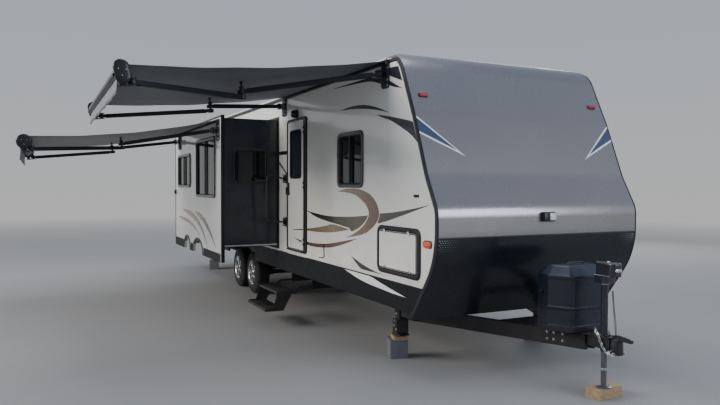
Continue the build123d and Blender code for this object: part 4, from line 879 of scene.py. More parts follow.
for side in (-1, 1):
    for j in range(6):
        for i in range(9 - j // 2):
            y = side * (1.196 - i * 0.026 - (j % 2) * 0.013)
            z = 1.334 - j * 0.019
            r = 0.0066 * (1 - i / 10.5) * (1 - j / 9)
            if r < 0.0012:
                continue
            c = on_cap(y, z, 0.0)
            nrm = (on_cap(y, z, 1.0) - c).normalized()
            lathe(bm, [(r, -0.0004), (r, 0.0006), (r * 0.7, 0.0009)], c, nrm, 8)
put("cap_fading_dots", bm, "paper_grey", "caravan", 60)

# ---------------------------------------------------------------- stripes on both side walls
S1_UP = [(-3.144, 1.495), (-2.795, 1.471), (-2.428, 1.457), (-1.931, 1.469), (-1.63, 1.487), (-1.372, 1.507)]
S1_LO_A = [(-3.144, 1.491), (-2.795, 1.424), (-2.428, 1.388), (-2.089, 1.365), (-1.838, 1.344)]
S1_LO_B = [(-1.777, 1.306), (-1.57, 1.369), (-1.43, 1.445), (-1.372, 1.500)]
S1_FRONT_UP = [(-1.136, 1.536), (-0.90, 1.553), (-0.726, 1.57), (-0.396, 1.613), (-0.135, 1.653)]
S1_FRONT_LO = [(-1.136, 1.432), (-0.937, 1.469), (-0.611, 1.54), (-0.396, 1.59), (-0.135, 1.651)]
S2_OUT = [(-2.191, 1.756), (-1.933, 1.787), (-1.63, 1.789), (-1.349, 1.742), (-1.188, 1.66), (-1.111, 1.555),
          (-1.148, 1.458), (-1.292, 1.367), (-1.512, 1.29), (-1.974, 1.222)]
S2_IN = [(-2.191, 1.756), (-1.933, 1.746), (-1.717, 1.725), (-1.544, 1.677), (-1.402, 1.606), (-1.347, 1.534),
         (-1.375, 1.472), (-1.456, 1.405), (-1.597, 1.335), (-1.774, 1.272), (-1.974, 1.223)]
S3_UP = [(-3.676, 1.215), (-3.404, 1.241), (-3.143, 1.262), (-2.795, 1.298), (-2.499, 1.336), (-2.325, 1.362),
         (-2.089, 1.351), (-1.852, 1.328)]
S3_LO = [(-3.676, 1.212), (-3.404, 1.225), (-3.143, 1.237), (-2.795, 1.239), (-2.427, 1.256), (-2.088, 1.291),
         (-1.852, 1.326)]
S4_UP = [(-3.597, 1.115), (-3.404, 1.099), (-3.143, 1.088), (-2.794, 1.094), (-2.427, 1.123), (-2.088, 1.17),
         (-1.837, 1.209), (-1.657, 1.236)]
S4_LO = [(-3.597, 1.112), (-3.404, 1.079), (-3.143, 1.05), (-2.871, 1.044), (-2.535, 1.062), (-2.255, 1.096),
         (-1.929, 1.163), (-1.657, 1.231)]
S5_UP = [(-1.788, 1.038), (-1.567, 0.984), (-1.343, 0.946), (-1.082, 0.919), (-0.835, 0.916)]
S5_LO = [(-1.788, 1.035), (-1.625, 0.953), (-1.509, 0.917), (-1.20, 0.9145), (-0.835, 0.9145)]
S5_SLIVER_UP = [(-1.991, 0.865), (-1.683, 0.869), (-1.342, 0.861), (-1.081, 0.822), (-0.834, 0.786), (-0.571, 0.751)]
S5_SLIVER_LO = [(-1.991, 0.864), (-1.683, 0.811), (-1.396, 0.779), (-1.08, 0.763), (-0.834, 0.752), (-0.571, 0.750)]
S6_UP = [(-2.096, 2.698), (-1.776, 2.71), (-1.473, 2.694), (-1.192, 2.642), (-0.909, 2.562)]
S6_LO = [(-2.096, 2.694), (-1.775, 2.679), (-1.473, 2.652), (-1.192, 2.613), (-0.908, 2.559)]
S7_UP = [(-1.171, 2.56), (-0.887, 2.516), (-0.532, 2.449), (-0.437, 2.424)]
S7_LO = [(-1.171, 2.558), (-1.023, 2.513), (-0.885, 2.48), (-0.733, 2.422), (-0.575, 2.355), (-0.445, 2.291),
         (-0.352, 2.226)]
S8_UP = [(-2.30, 2.975), (-1.90, 2.972), (-1.37, 2.965), (-1.066, 2.925), (-0.95, 2.892), (-0.838, 2.849), (-0.73, 2.801),
         (-0.637, 2.766)]
S8_LO = [(-2.30, 2.972), (-1.90, 2.955), (-1.37, 2.930), (-1.095, 2.872), (-0.922, 2.832), (-0.783, 2.795), (-0.637, 2.765)]
S9_UP = [(-1.05, 3.010), (-0.95, 3.006), (-0.84, 3.000), (-0.72, 2.990)]
S9_LO = [(-1.05, 2.965), (-0.95, 2.940), (-0.784, 2.885), (-0.640, 2.838)]


def graph_film(bm, up, lo, f, w, n=60):
    """A film between two lines that both run along x, cut at the same x values."""
    a = up if len(up) > 30 else smooth_line(up, 160)
    b = lo if len(lo) > 30 else smooth_line(lo, 160)
    x0, x1 = max(a[0][0], b[0][0]), min(a[-1][0], b[-1][0])
    xs = np.linspace(x0, x1, n)
    za = np.interp(xs, [q[0] for q in a], [q[1] for q in a])
    zb = np.interp(xs, [q[0] for q in b], [q[1] for q in b])
    rings(bm, [[f(x, u, w), f(x, l, w), f(x, l, -0.0004), f(x, u, -0.0004)] for x, u, l in
               zip(xs, za, np.minimum(zb, za - 0.0008))])


def cut_at(line, x, keep_above):
    """The part of a line on one side of x."""
    pts = smooth_line(line, 120)
    out = [p for p in pts if (p[0] > x) == keep_above] or pts[:2]
    for a, b in zip(pts, pts[1:]):
        if min(a[0], b[0]) < x < max(a[0], b[0]):
            q = (x, a[1] + (b[1] - a[1]) * (x - a[0]) / (b[0] - a[0]))
            near_start = abs(out[0][0] - x) < abs(out[-1][0] - x)
            return [q] + out if near_start else out + [q]
    return out


for side, tag in ((-1, "right"), (1, "left")):
    f = on_y(side, HALF_W)
    bm = bmesh.new()
    graph_film(bm, S1_UP, smooth_line(S1_LO_A, 60) + smooth_line(S1_LO_B, 60), f, 0.0010, 90)
    graph_film(bm, S1_FRONT_UP, S1_FRONT_LO, f, 0.0010, 40)
    put(f"stripe_long_{tag}", bm, "film_olive", "caravan", 60)
    bm = bmesh.new()
    up, lo = grow(S2_OUT, S2_IN, 0.010)
    film(bm, up, lo, f, 0.0014, 60)
    put(f"stripe_crescent_edge_{tag}", bm, "film_white", "caravan", 60)
    bm = bmesh.new()
    film(bm, S2_OUT, S2_IN, f, 0.0018, 60)
    put(f"stripe_crescent_{tag}", bm, "film_copper", "caravan", 60)
    bm = bmesh.new()
    limit = -3.139 if side < 0 else -99
    graph_film(bm, cut_at(S3_UP, limit, True), cut_at(S3_LO, limit, True), f, 0.0012, 60)
    put(f"stripe_tan_{tag}", bm, "film_tan", "caravan", 60)
    bm = bmesh.new()
    graph_film(bm, cut_at(S4_UP, limit, True), cut_at(S4_LO, limit, True), f, 0.0012, 60)
    put(f"stripe_brown_{tag}", bm, "film_brown", "caravan", 60)
    bm = bmesh.new()
    graph_film(bm, S5_UP, S5_LO, f, 0.0012, 50)
    graph_film(bm, S8_UP, S8_LO, f, 0.0012, 60)
    film(bm, S7_UP, S7_LO, f, 0.0012, 30)
    film(bm, S9_UP, S9_LO, f, 0.0012, 16)
    put(f"stripe_dark_{tag}", bm, "film_dark", "caravan", 60)
    bm = bmesh.new()
    graph_film(bm, S6_UP, S6_LO, f, 0.0012, 50)
    put(f"stripe_upper_{tag}", bm, "film_grey", "caravan", 60)
    bm = bmesh.new()
    fs = (lambda u, v, w: N(u, -(1.2140 + w), v)) if side < 0 else (lambda u, v, w: N(u, 1.2480 - 0.034 + w, v))
    film(bm, S5_SLIVER_UP, S5_SLIVER_LO, fs, 0.0012, 40)
    put(f"skirt_sliver_{tag}", bm, "film_white", "caravan", 60)
f = on_y(-1, HALF_W)
bm = bmesh.new()
graph_film(bm, cut_at(S3_UP, -3.242, False), cut_at(S3_LO, -3.242, False), lambda u, v, w: f(u, v, 0.018 + w), 0.0010, 24)
put("door_stripe_tan", bm, "film_tan", "entry_door", 60)
bm = bmesh.new()
graph_film(bm, cut_at(S4_UP, -3.242, False), cut_at(S4_LO, -3.242, False), lambda u, v, w: f(u, v, 0.018 + w), 0.0010, 24)
put("door_stripe_brown", bm, "film_brown", "entry_door", 60)

# ---------------------------------------------------------------- slide-out room: arcs, trims, seals, arch lips
ARC_A = [(-7.015, 1.401), (-6.248, 1.334), (-5.712, 1.219), (-5.324, 1.037), (-5.09, 0.84)]
ARC_B = [(-7.487, 1.256), (-6.751, 1.226), (-6.251, 1.174), (-5.938, 1.109), (-5.62, 1.01)]
ARC_C = [(-6.011, 1.401), (-5.424, 1.297), (-4.957, 1.123), (-4.586, 0.914)]
fr = on_y(-1, ROOM_OUT)


def arc_band(line, wide, n=40):
    """Two edges about a line, thin at both ends."""
    pts = smooth_line(line, n)
    up, lo = [], []
    for i, (x, z) in enumerate(pts):
        a, b = pts[max(i - 1, 0)], pts[min(i + 1, n - 1)]
        tx, tz = b[0] - a[0], b[1] - a[1]
        length = math.hypot(tx, tz) or 1
        h = wide * (0.08 + math.sin(math.pi * (i / (n - 1)) ** 0.8)) / 2
        up.append((x - tz / length * h, z + tx / length * h))
        lo.append((x + tz / length * h, z - tx / length * h))
    return up, lo


bm = bmesh.new()
for line, wide in ((ARC_A, 0.085), (ARC_B, 0.055), (ARC_C, 0.085)):
    up, lo = arc_band(line, wide)
    film(bm, up, lo, fr, 0.0012, 44)
put("room_arcs", bm, "film_arc", "room", 60)

FX0, FX1 = ROOM_X0 - 0.040, ROOM_X1 + 0.040
# lip round the outer wall: dark on its front and rear edges and its top
bm = bmesh.new()
for x, s in ((FX1, 1), (FX0, -1)):
    sec = [(-0.016, -0.0006), (-0.016, 0.004), (-0.012, 0.0066), (0.0, 0.0068), (0.0060, 0.0045), (0.0072, -0.002),
           (0.0072, -0.040), (0.005, -0.0435), (-0.0005, -0.0435), (-0.0005, -0.0006)]
    rings(bm, [[N(x + s * u, ROOM_OUT - w, z) for u, w in sec] for z in (0.735, 1.3, 2.0, 2.812)])
put("room_corner_trims", bm, "gloss_trim", "room", 35)
bm = bmesh.new()
rings(bm, [[N(x, ROOM_OUT - w, 2.807 + h) for h, w in ((-0.020, -0.0006), (-0.020, 0.0045), (-0.016, 0.0068),
           (0.0, 0.0068), (0.0062, 0.004), (0.0072, -0.004), (0.0072, -0.040), (-0.0005, -0.040), (-0.0005, -0.0006))]
           for x in (FX0 - 0.006, -7, -6, -5, FX1 + 0.006)])
put("room_top_trim", bm, "gloss_trim", "room", 35)
# bright strips beside the dark lips, as on the real wall's clamp moulding
bm = bmesh.new()
rings(bm, [[N(FX1 - 0.016 - u, ROOM_OUT - w, z) for u, w in ((0.0, -0.0006), (0.0, 0.0034), (0.004, 0.0046), (0.026, 0.0046),
           (0.030, 0.0034), (0.030, -0.0006))] for z in (0.735, 1.4, 2.1, 2.78)])
put("room_clamp_strip", bm, "fitting_white", "room", 35)
# grey skirt band along the outer wall's foot, cut to the arches
ARCHES = [(-6.180, -5.430, 0.940), (-6.900, -6.380, 0.930)]


def arch_line(x0, x1, top, n=18, grow_by=0.0):
    w = (x1 - x0) / 2
    low = 0.725
    knee = low + (top - low) * 0.6
    pts = [(x1 + grow_by * 0.6, low), (x1 - w * 0.18 + grow_by, knee)]
    a, b, c = Vector((x1 - w * 0.18, knee)), Vector((x0 + w, top)), Vector((x0 + w * 0.18, knee))
    ax, ay, bx, by, cx, cy = *a, *b, *c
    d = 2 * (ax * (by - cy) + bx * (cy - ay) + cx * (ay - by))
    ux = ((ax * ax + ay * ay) * (by - cy) + (bx * bx + by * by) * (cy - ay) + (cx * cx + cy * cy) * (ay - by)) / d
    uy = ((ax * ax + ay * ay) * (cx - bx) + (bx * bx + by * by) * (ax - cx) + (cx * cx + cy * cy) * (bx - ax)) / d
    r = math.hypot(ax - ux, ay - uy) + grow_by
    a0, a1 = math.atan2(ay - uy, ax - ux), math.atan2(cy - uy, cx - ux)
    for i in range(1, n):
        g = a0 + (a1 - a0) * i / n
        pts.append((ux + r * math.cos(g), uy + r * math.sin(g)))
    pts += [(x0 + w * 0.18 - grow_by, knee), (x0 - grow_by * 0.6, low)]
    return pts


bm = bmesh.new()
for x0, x1, top in ARCHES:
    inner = arch_line(x0, x1, top)
    outer = arch_line(x0, x1, top, grow_by=0.040)
    rows = []
    for (xi, zi), (xo, zo) in zip(inner, outer):
        rows.append([fr(xi, zi, -0.040), fr(xi, zi, 0.006), fr(xi * 0.7 + xo * 0.3, zi * 0.7 + zo * 0.3, 0.0105),
                     fr(xi * 0.1 + xo * 0.9, zi * 0.1 + zo * 0.9, 0.009), fr(xo, zo, 0.004), fr(xo, zo, -0.0006),
                     fr(xi + (xo - xi) * 0.02, zi + (zo - zi) * 0.02, -0.0006),
                     fr(xi + (xo - xi) * 0.02, zi + (zo - zi) * 0.02, -0.040)])
    rings(bm, rows)
put("room_arch_lips", bm, "gloss_trim", "room", 40)
bm = bmesh.new()
for xa, xb, zt in ((FX0 + 0.004, -6.94, 0.872), (-6.345, -6.215, 0.862), (-5.395, FX1 - 0.05, 0.85)):
    slab(bm, [(xa, 0.727), (xb, 0.727), (xb, zt), (xa, zt)], fr, -0.0004, 0.0032)
put("room_skirt_band", bm, "skirt_plastic", "room", 30)
# bottom edge strip and the light line along the end wall's foot
bm = bmesh.new()
rings(bm, [[N(ROOM_X1 + u, y, z) for u, z in ((-0.0006, 0.949), (0.006, 0.949), (0.0085, 0.953), (0.0085, 0.968),
           (0.006, 0.972), (-0.0006, 0.972))] for y in (-2.028, -1.6, -1.24)])
rings(bm, [[N(ROOM_X0 - u, y, z) for u, z in ((-0.0006, 0.949), (0.006, 0.949), (0.0085, 0.953), (0.0085, 0.968),
           (0.006, 0.972), (-0.0006, 0.972))] for y in (-2.028, -1.6, -1.24)])
put("room_foot_strips", bm, "bright_strip", "room", 35)
# bulb seals round the wall opening
bm = bmesh.new()
SEAL = [(0.0, -0.0006), (0.0, 0.007), (0.008, 0.0105), (0.026, 0.0105), (0.036, 0.007), (0.036, -0.0006)]
x0, x1, z0, z1 = -7.664, -4.288, 0.936, 2.789
for s in (1, -1):
    xs = x1 if s > 0 else x0
    rings(bm, [[N(xs + s * u, -HALF_W - w, z) for u, w in SEAL] for z in (z0 - 0.03, 1.6, 2.3, z1 + 0.036)])
rings(bm, [[N(x, -HALF_W - w, z1 + u) for u, w in SEAL] for x in (x0, -6.5, -5.4, x1)])
rings(bm, [[N(x, -HALF_W - w, z0 - u) for u, w in SEAL] for x in (x0, -6.5, -5.4, x1)])
put("room_opening_seals", bm, "dust_seal", "caravan", 35)
# latch on the outer wall's rear end
bm = bmesh.new()
slab(bm, rrect(FX0 + 0.010, FX0 + 0.055, 1.655, 1.745, 0.010), fr, 0.0, 0.022, 0.006)
slab(bm, rrect(FX0 + 0.020, FX0 + 0.045, 1.675, 1.725, 0.008), fr, 0.018, 0.034, 0.005)
put("room_rear_latch", bm, "gloss_trim", "room", 35)

# ---------------------------------------------------------------- awnings
def awning_parts(key, who):
    a = AWN[key]
    slope = math.atan2(a["zs"] - a["zw"], a["ys"] - a["yw"])
    up = Vector((0, -math.sin(slope), math.cos(slope)))
    step = 0.050
    y0, z0 = a["wall"] - 0.036, a["rail"] + 0.0085
    y1, z1 = a["yr"] + 0.030, a["zr"] + a["rr"] + 0.0075
    ym, zm = a["sag"]
    # circle through the three points
    A, B, C = Vector((y0, z0)), Vector((ym, zm + 0.003)), Vector((y1, z1))
    d = 2 * (A.x * (B.y - C.y) + B.x * (C.y - A.y) + C.x * (A.y - B.y))
    cx = ((A.length_squared) * (B.y - C.y) + B.length_squared * (C.y - A.y) + C.length_squared * (A.y - B.y)) / d
    cy = ((A.length_squared) * (C.x - B.x) + B.length_squared * (A.x - C.x) + C.length_squared * (B.x - A.x)) / d
    R = math.hypot(A.x - cx, A.y - cy)
    a0, a1 = math.atan2(A.y - cy, A.x - cx), math.atan2(C.y - cy, C.x - cx)
    da = (a1 - a0 + math.pi) % (2 * math.pi) - math.pi
    xa, xb = a["xr"] - 0.075 + 0.042, a["xf"] + 0.075 - 0.042
    n, m = 48, 40
    bm = bmesh.new()
    grid = []
    for i in range(n + 1):
        s = i / n
        g = a0 + da * s
        row = []
        for j in range(m + 1):
            t = j / m
            x = xa + (xb - xa) * t
            # slack between the two arms, small waves along the free edges
            e = 4 * t * (1 - t)
            dip = -0.010 * math.sin(math.pi * s) * e
            edge = min(t, 1 - t)
            flutter = 0.0035 * math.exp(-edge * 22) * math.sin(s * 21 + (0 if t < 0.5 else 1.3)) * math.sin(math.pi * s)
            crease = 0.0016 * math.sin(t * 37 + s * 3.1) * math.sin(math.pi * s) * e
            wide = 1 - 0.004 * math.sin(math.pi * s)
            x = (xa + xb) / 2 + (x - (xa + xb) / 2) * wide
            row.append(bm.verts.new(N(x, cx + R * math.cos(g), cy + R * math.sin(g) + dip + flutter + crease)))
        grid.append(row)
    for i in range(n):
        for j in range(m):
            bm.faces.new((grid[i][j], grid[i + 1][j], grid[i + 1][j + 1], grid[i][j + 1]))
    cloth = put(f"{key}_canopy", bm, "awning_vinyl" if key == "awning" else "room_awning_vinyl", who, 60)
    thick = cloth.modifiers.new("Thick", "SOLIDIFY")
    thick.thickness = 0.0009
    thick.offset = 0
    # folded hems along the two free edges
    bm = bmesh.new()
    for t0, t1 in ((0.0, 0.012), (0.988, 1.0)):
        rows = []
        for i in range(n + 1):
            s = i / n
            g = a0 + da * s
            pts = []
            for t, w in ((t0, 0.0016), (t1, 0.0016), (t1, -0.0018), (t0, -0.0018)):
                edge = min(t, 1 - t)
                flutter = 0.0035 * math.exp(-edge * 22) * math.sin(s * 21 + (0 if t < 0.5 else 1.3)) * math.sin(math.pi * s)
                e = 4 * t * (1 - t)
                dip = -0.010 * math.sin(math.pi * s) * e
                crease = 0.0016 * math.sin(t * 37 + s * 3.1) * math.sin(math.pi * s) * e
                x = xa + (xb - xa) * t
                x = (xa + xb) / 2 + (x - (xa + xb) / 2) * (1 - 0.004 * math.sin(math.pi * s))
                pts.append(N(x, cx + R * math.cos(g), cy + R * math.sin(g) + dip + flutter + crease + w))
            rows.append(pts)
        rings(bm, rows)
    hem = put(f"{key}_canopy_hems", bm, "hem_vinyl", who, 50)
    bpy.context.view_layer.update()
    # the imported cloth node is hidden, and the canopy and its hems get meshes of their own
    way, dy, dz, keep = SQ[key]
    way = tuple(Vector(way).normalized())
    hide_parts(f"{key}_cloth")
    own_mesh(cloth)
    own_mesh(hem)
    # valance below the roller
    bm = bmesh.new()
    v0, v1 = a["zr"] - 0.020, a["hem"]
    rows = []
    nx, nz = 90, 8
    yv = a["yr"] - a["rr"] * 0.55
    g2 = []
    for k in range(nz + 1):
        s = k / nz
        row = []
        for i in range(nx + 1):
            t = i / nx
            x = xa + 0.004 + (xb - xa - 0.008) * t
            sway = 0.004 * s * math.sin(t * 31 + 0.6) + 0.002 * s * math.sin(t * 67)
            row.append(bm.verts.new(N(x, yv - 0.012 * math.sin(s * 1.4) + sway, v0 + (v1 - v0) * s)))
        g2.append(row)
    for k in range(nz):
        for i in range(nx):
            bm.faces.new((g2[k][i], g2[k][i + 1], g2[k + 1][i + 1], g2[k + 1][i]))
    val = put(f"{key}_valance", bm, "valance_vinyl", f"{key}_roller", 60)
    t2 = val.modifiers.new("Thick", "SOLIDIFY")
    t2.thickness = 0.0009
    t2.offset = 0
    bm = bmesh.new()
    rows = []
    for i in range(nx + 1):
        t = i / nx
        x = xa + 0.004 + (xb - xa - 0.008) * t
        sway = 0.004 * math.sin(t * 31 + 0.6) + 0.002 * math.sin(t * 67)
        y = yv - 0.012 * math.sin(1.4) + sway
        rows.append([N(x, y + u, v1 + h) for u, h in ((-0.0026, -0.002), (0.0026, -0.002), (0.0026, 0.026), (-0.0026, 0.026))])
    rings(bm, rows)
    vh = put(f"{key}_valance_hem", bm, "hem_vinyl", f"{key}_roller", 50)
    # cloth turns wound on the roller, with the spiral edge
    bm = bmesh.new()
    c = (a["yr"], a["zr"])
    prof = []
    for k in range(64):
        g = 2 * math.pi * k / 64
        prof.append((a["rr"] + 0.0035 + 0.0022 * k / 64, g))
    rings(bm, [[N(x, c[0] + r * math.cos(g), c[1] + r * math.sin(g)) for r, g in prof]
               for x in np.linspace(xa - 0.004, xb + 0.004, 5)])
    put(f"{key}_wound_cloth", bm, "wound_vinyl", f"{key}_roller", 40)
    # end caps: domed covers with a rim
    bm = bmesh.new()
    for x, s in ((a["xf"] + 0.075, 1), (a["xr"] - 0.075, -1)):
        rr = a["rr"] + 0.024
        if key == "room_awning":
            lathe(bm, [(rr + 0.0015, -0.031), (rr + 0.0035, -0.027), (rr + 0.0035, -0.006), (rr - 0.001, 0.0015),
                       (rr * 0.88, 0.0065), (rr * 0.60, 0.0090), (rr * 0.25, 0.0100), (0.004, 0.0100)],
                  N(x, a["yr"], a["zr"]), (s, 0, 0), 48)
            continue
        lean = math.radians(102)
        rows = []
        for d, h in ((0.0015, -0.031), (0.0035, -0.027), (0.0035, -0.006), (-0.001, 0.0015), (-0.009, 0.0065), (-0.026, 0.0090),
                     (-0.050, 0.0100)):
            row = []
            for k in range(56):
                g = 2 * math.pi * k / 56
                r = 0.0625 + d
                u = r * math.cos(g) + (0.0375 if math.cos(g) > 0 else -0.0375)
                v = r * math.sin(g)
                row.append(N(x + s * h, a["yr"] + u * math.cos(lean) - v * math.sin(lean),
                             a["zr"] + u * math.sin(lean) + v * math.cos(lean)))
            rows.append(row)
        rings(bm, rows)
    put(f"{key}_roller_caps", bm, "gloss_trim", f"{key}_roller", 40)
    bm = bmesh.new()
    for x, s in ((a["xf"] + 0.075, 1), (a["xr"] - 0.075, -1)):
        for k in range(3):
            g = 2 * math.pi * k / 3 + 0.5
            rivet(bm, N(x + s * 0.0075, a["yr"] + 0.036 * math.cos(g), a["zr"] + 0.036 * math.sin(g)), (s, 0, 0), 0.0055, 0.004)
    put(f"{key}_cap_screws", bm, "zinc", f"{key}_roller", 40)
    # front bar under the roller, which stiffens it and carries the valance
    bm = bmesh.new()
    rings(bm, [[N(x, a["yr"] + u, a["zr"] + v) for u, v in ((0.020, -a["rr"] - 0.004), (-0.055, -a["rr"] + 0.012),
               (-0.070, -0.040), (-0.074, -0.020), (-0.066, -0.014), (-0.058, -0.045), (-0.045, -a["rr"] + 0.004),
               (0.020, -a["rr"] - 0.016))] for x in (xa - 0.004, xb + 0.004)])
    put(f"{key}_front_bar", bm, "arm_metal", f"{key}_roller", 30)
    # arms: elbow knobs, pin caps
    for which, x, turn in (("front", a["xf"], -1), ("rear", a["xr"], 1)):
        sh = N(x, a["ys"], a["zs"])
        el = N(x + turn * a["bow"], (a["ys"] + a["yw"]) / 2, (a["zs"] + a["zw"]) / 2)
        wr = N(x, a["yw"], a["zw"])
        bm = bmesh.new()
        top = -step + 0.018 + 0.034
        lathe(bm, [(0.026, top - 0.008), (0.027, top), (0.022, top + 0.006), (0.010, top + 0.009), (0.0095, top + 0.028),
                   (0.016, top + 0.033), (0.0165, top + 0.050), (0.012, top + 0.057), (0.002, top + 0.058)], el, up, 28)
        put(f"{key}_elbow_knob_{which}", bm, "gloss_trim", f"{key}_outer_{which}", 40)
        bm = bmesh.new()
        lathe(bm, [(0.030, -2 * step - 0.026), (0.034, -2 * step - 0.023), (0.034, -2 * step - 0.0178)], el, up, 32)
        put(f"{key}_elbow_foot_{which}", bm, "gloss_trim", f"{key}_outer_{which}", 40)
        # inner arm: ribs along its length
        bm = bmesh.new()
        p, q = sh, el - up * step
        d1 = (q - p).normalized()
        sd = up.cross(d1).normalized()
        nm = d1.cross(sd).normalized()
        for off in (-0.022, 0.022):
            a_, b_ = p + d1 * 0.075 + sd * off - nm * 0.018, q - d1 * 0.075 + sd * off - nm * 0.018
            tube(bm, [a_, b_], 0.0036, 10)
        # raised top of the extrusion
        rings(bm, [[c + sd * u + nm * (0.018 + v) for u, v in ((-0.0298, -0.001), (-0.0298, 0.006), (-0.024, 0.010), (0.024, 0.010),
                   (0.0298, 0.006), (0.0298, -0.001))] for c in (p + d1 * 0.062, q - d1 * 0.062)])
        put(f"{key}_inner_arm_ribs_{which}", bm, "arm_metal", f"{key}_inner_{which}", 40)
        bm = bmesh.new()
        p2, q2 = el - up * 2 * step, wr - up * step
        d2 = (q2 - p2).normalized()
        sd2 = up.cross(d2).normalized()
        nm2 = d2.cross(sd2).normalized()
        for off in (-0.018, 0.018):
            a_, b_ = p2 + d2 * 0.072 + sd2 * off + nm2 * 0.018, q2 - d2 * 0.072 + sd2 * off + nm2 * 0.018
            tube(bm, [a_, b_], 0.0036, 10)
        rings(bm, [[c + sd2 * u - nm2 * (0.018 + v) for u, v in ((-0.0258, -0.001), (-0.0258, 0.006), (-0.020, 0.010), (0.020, 0.010),
                   (0.0258, 0.006), (0.0258, -0.001))] for c in (p2 + d2 * 0.060, q2 - d2 * 0.060)])
        put(f"{key}_outer_arm_ribs_{which}", bm, "arm_metal", f"{key}_outer_{which}", 40)
        # shoulder: backing plate, cover and bolts on the wall
        bm = bmesh.new()
        fw = (lambda u, v, w, b=a["wall"]: N(u, b - w, v))
        slab(bm, rrect(x - 0.078, x + 0.078, a["zs"] - 0.135, a["rail"] + 0.016, 0.030), fw, -0.0004, 0.016, 0.006)
        put(f"{key}_shoulder_plate_{which}", bm, "arm_metal", who, 35)
        bm = bmesh.new()
        for dx in (-0.062, 0.062):
            for z in (a["zs"] - 0.112, a["zs"] - 0.055, a["zs"] + 0.062):
                bolt(bm, fw(x + dx, z, 0.016), (0, -1, 0), 0.0085, 0.010)
        put(f"{key}_shoulder_bolts_{which}", bm, "zinc", who, 35)
        bm = bmesh.new()
        lathe(bm, [(0.024, 0.0385), (0.025, 0.042), (0.020, 0.047), (0.008, 0.049), (0.002, 0.049)], sh, up, 28)
        put(f"{key}_shoulder_cap_{which}", bm, "gloss_trim", who, 40)
    # hood over the wall rail
    bm = bmesh.new()
    rx0, rx1 = a["xr"] - 0.075, a["xf"] + 0.075
    rings(bm, [[N(x, a["wall"] - w, a["rail"] + h) for w, h in ((-0.0004, 0.022), (0.030, 0.024), (0.0368, 0.020), (0.0382, 0.012),
               (0.0368, 0.012), (0.0352, 0.0186), (0.029, 0.0222), (-0.0004, 0.0205))] for x in (rx0, (rx0 + rx1) / 2, rx1)])
    put(f"{key}_rail_hood", bm, "arm_metal", who, 30)


SQ = {"awning": ((0, -2.459, -0.236), -0.036, 0.006, 0.1495), "room_awning": ((0, -2.401, -0.308), -0.036, 0.006, 0.2018)}
awning_parts("awning", "caravan")
awning_parts("room_awning", "room")

# ---------------------------------------------------------------- wheels: treaded tyres, spoked alloy rims
def tyre(name, x, side, body):
    bm = bmesh.new()
    sect = [(0.196, 0.030), (0.194, 0.016), (0.203, 0.011), (0.214, 0.010), (0.222, 0.004), (0.226, 0.0045), (0.232, 0.0012),
            (0.250, 0.0), (0.268, 0.0008), (0.273, 0.0030), (0.279, 0.0008), (0.300, 0.0052), (0.318, 0.012), (0.324, 0.016),
            (0.329, 0.015), (0.338, 0.022), (0.345, 0.033), (0.3488, 0.043)]
    full = list(sect)
    # tread: four ribs and three grooves over the width
    tread = [(0.3500, 0.052), (0.3500, 0.079), (0.3425, 0.082), (0.3425, 0.090), (0.3500, 0.093), (0.3500, 0.108),
             (0.3435, 0.1095), (0.3435, 0.1155), (0.3500, 0.117), (0.3500, 0.132), (0.3425, 0.135), (0.3425, 0.143),
             (0.3500, 0.146), (0.3500, 0.173)]
    full += tread + [(r, 0.225 - w) for r, w in reversed(sect)]
    full += [(0.200, 0.18), (0.200, 0.045)]
    n = 120
    rows = []
    for k in range(n):
        g = 2 * math.pi * k / n
        row = []
        for r, w in full:
            rr = r
            if r > 0.3495 and k % 4 == 0:
                rr = r - 0.0055
            elif 0.336 < r < 0.3495 and w in (0.022, 0.033, 0.043, 0.203, 0.192, 0.182) and k % 4 in (0, 1):
                rr = r - 0.0035
            row.append(N(x + rr * math.sin(g), side * (1.149 - w), 0.350 + rr * math.cos(g)))
        rows.append(row)
    rings(bm, rows, loop=True, cap=False)
    return put(name, bm, "tyre_rubber", body, 28, doubles=1e-6)


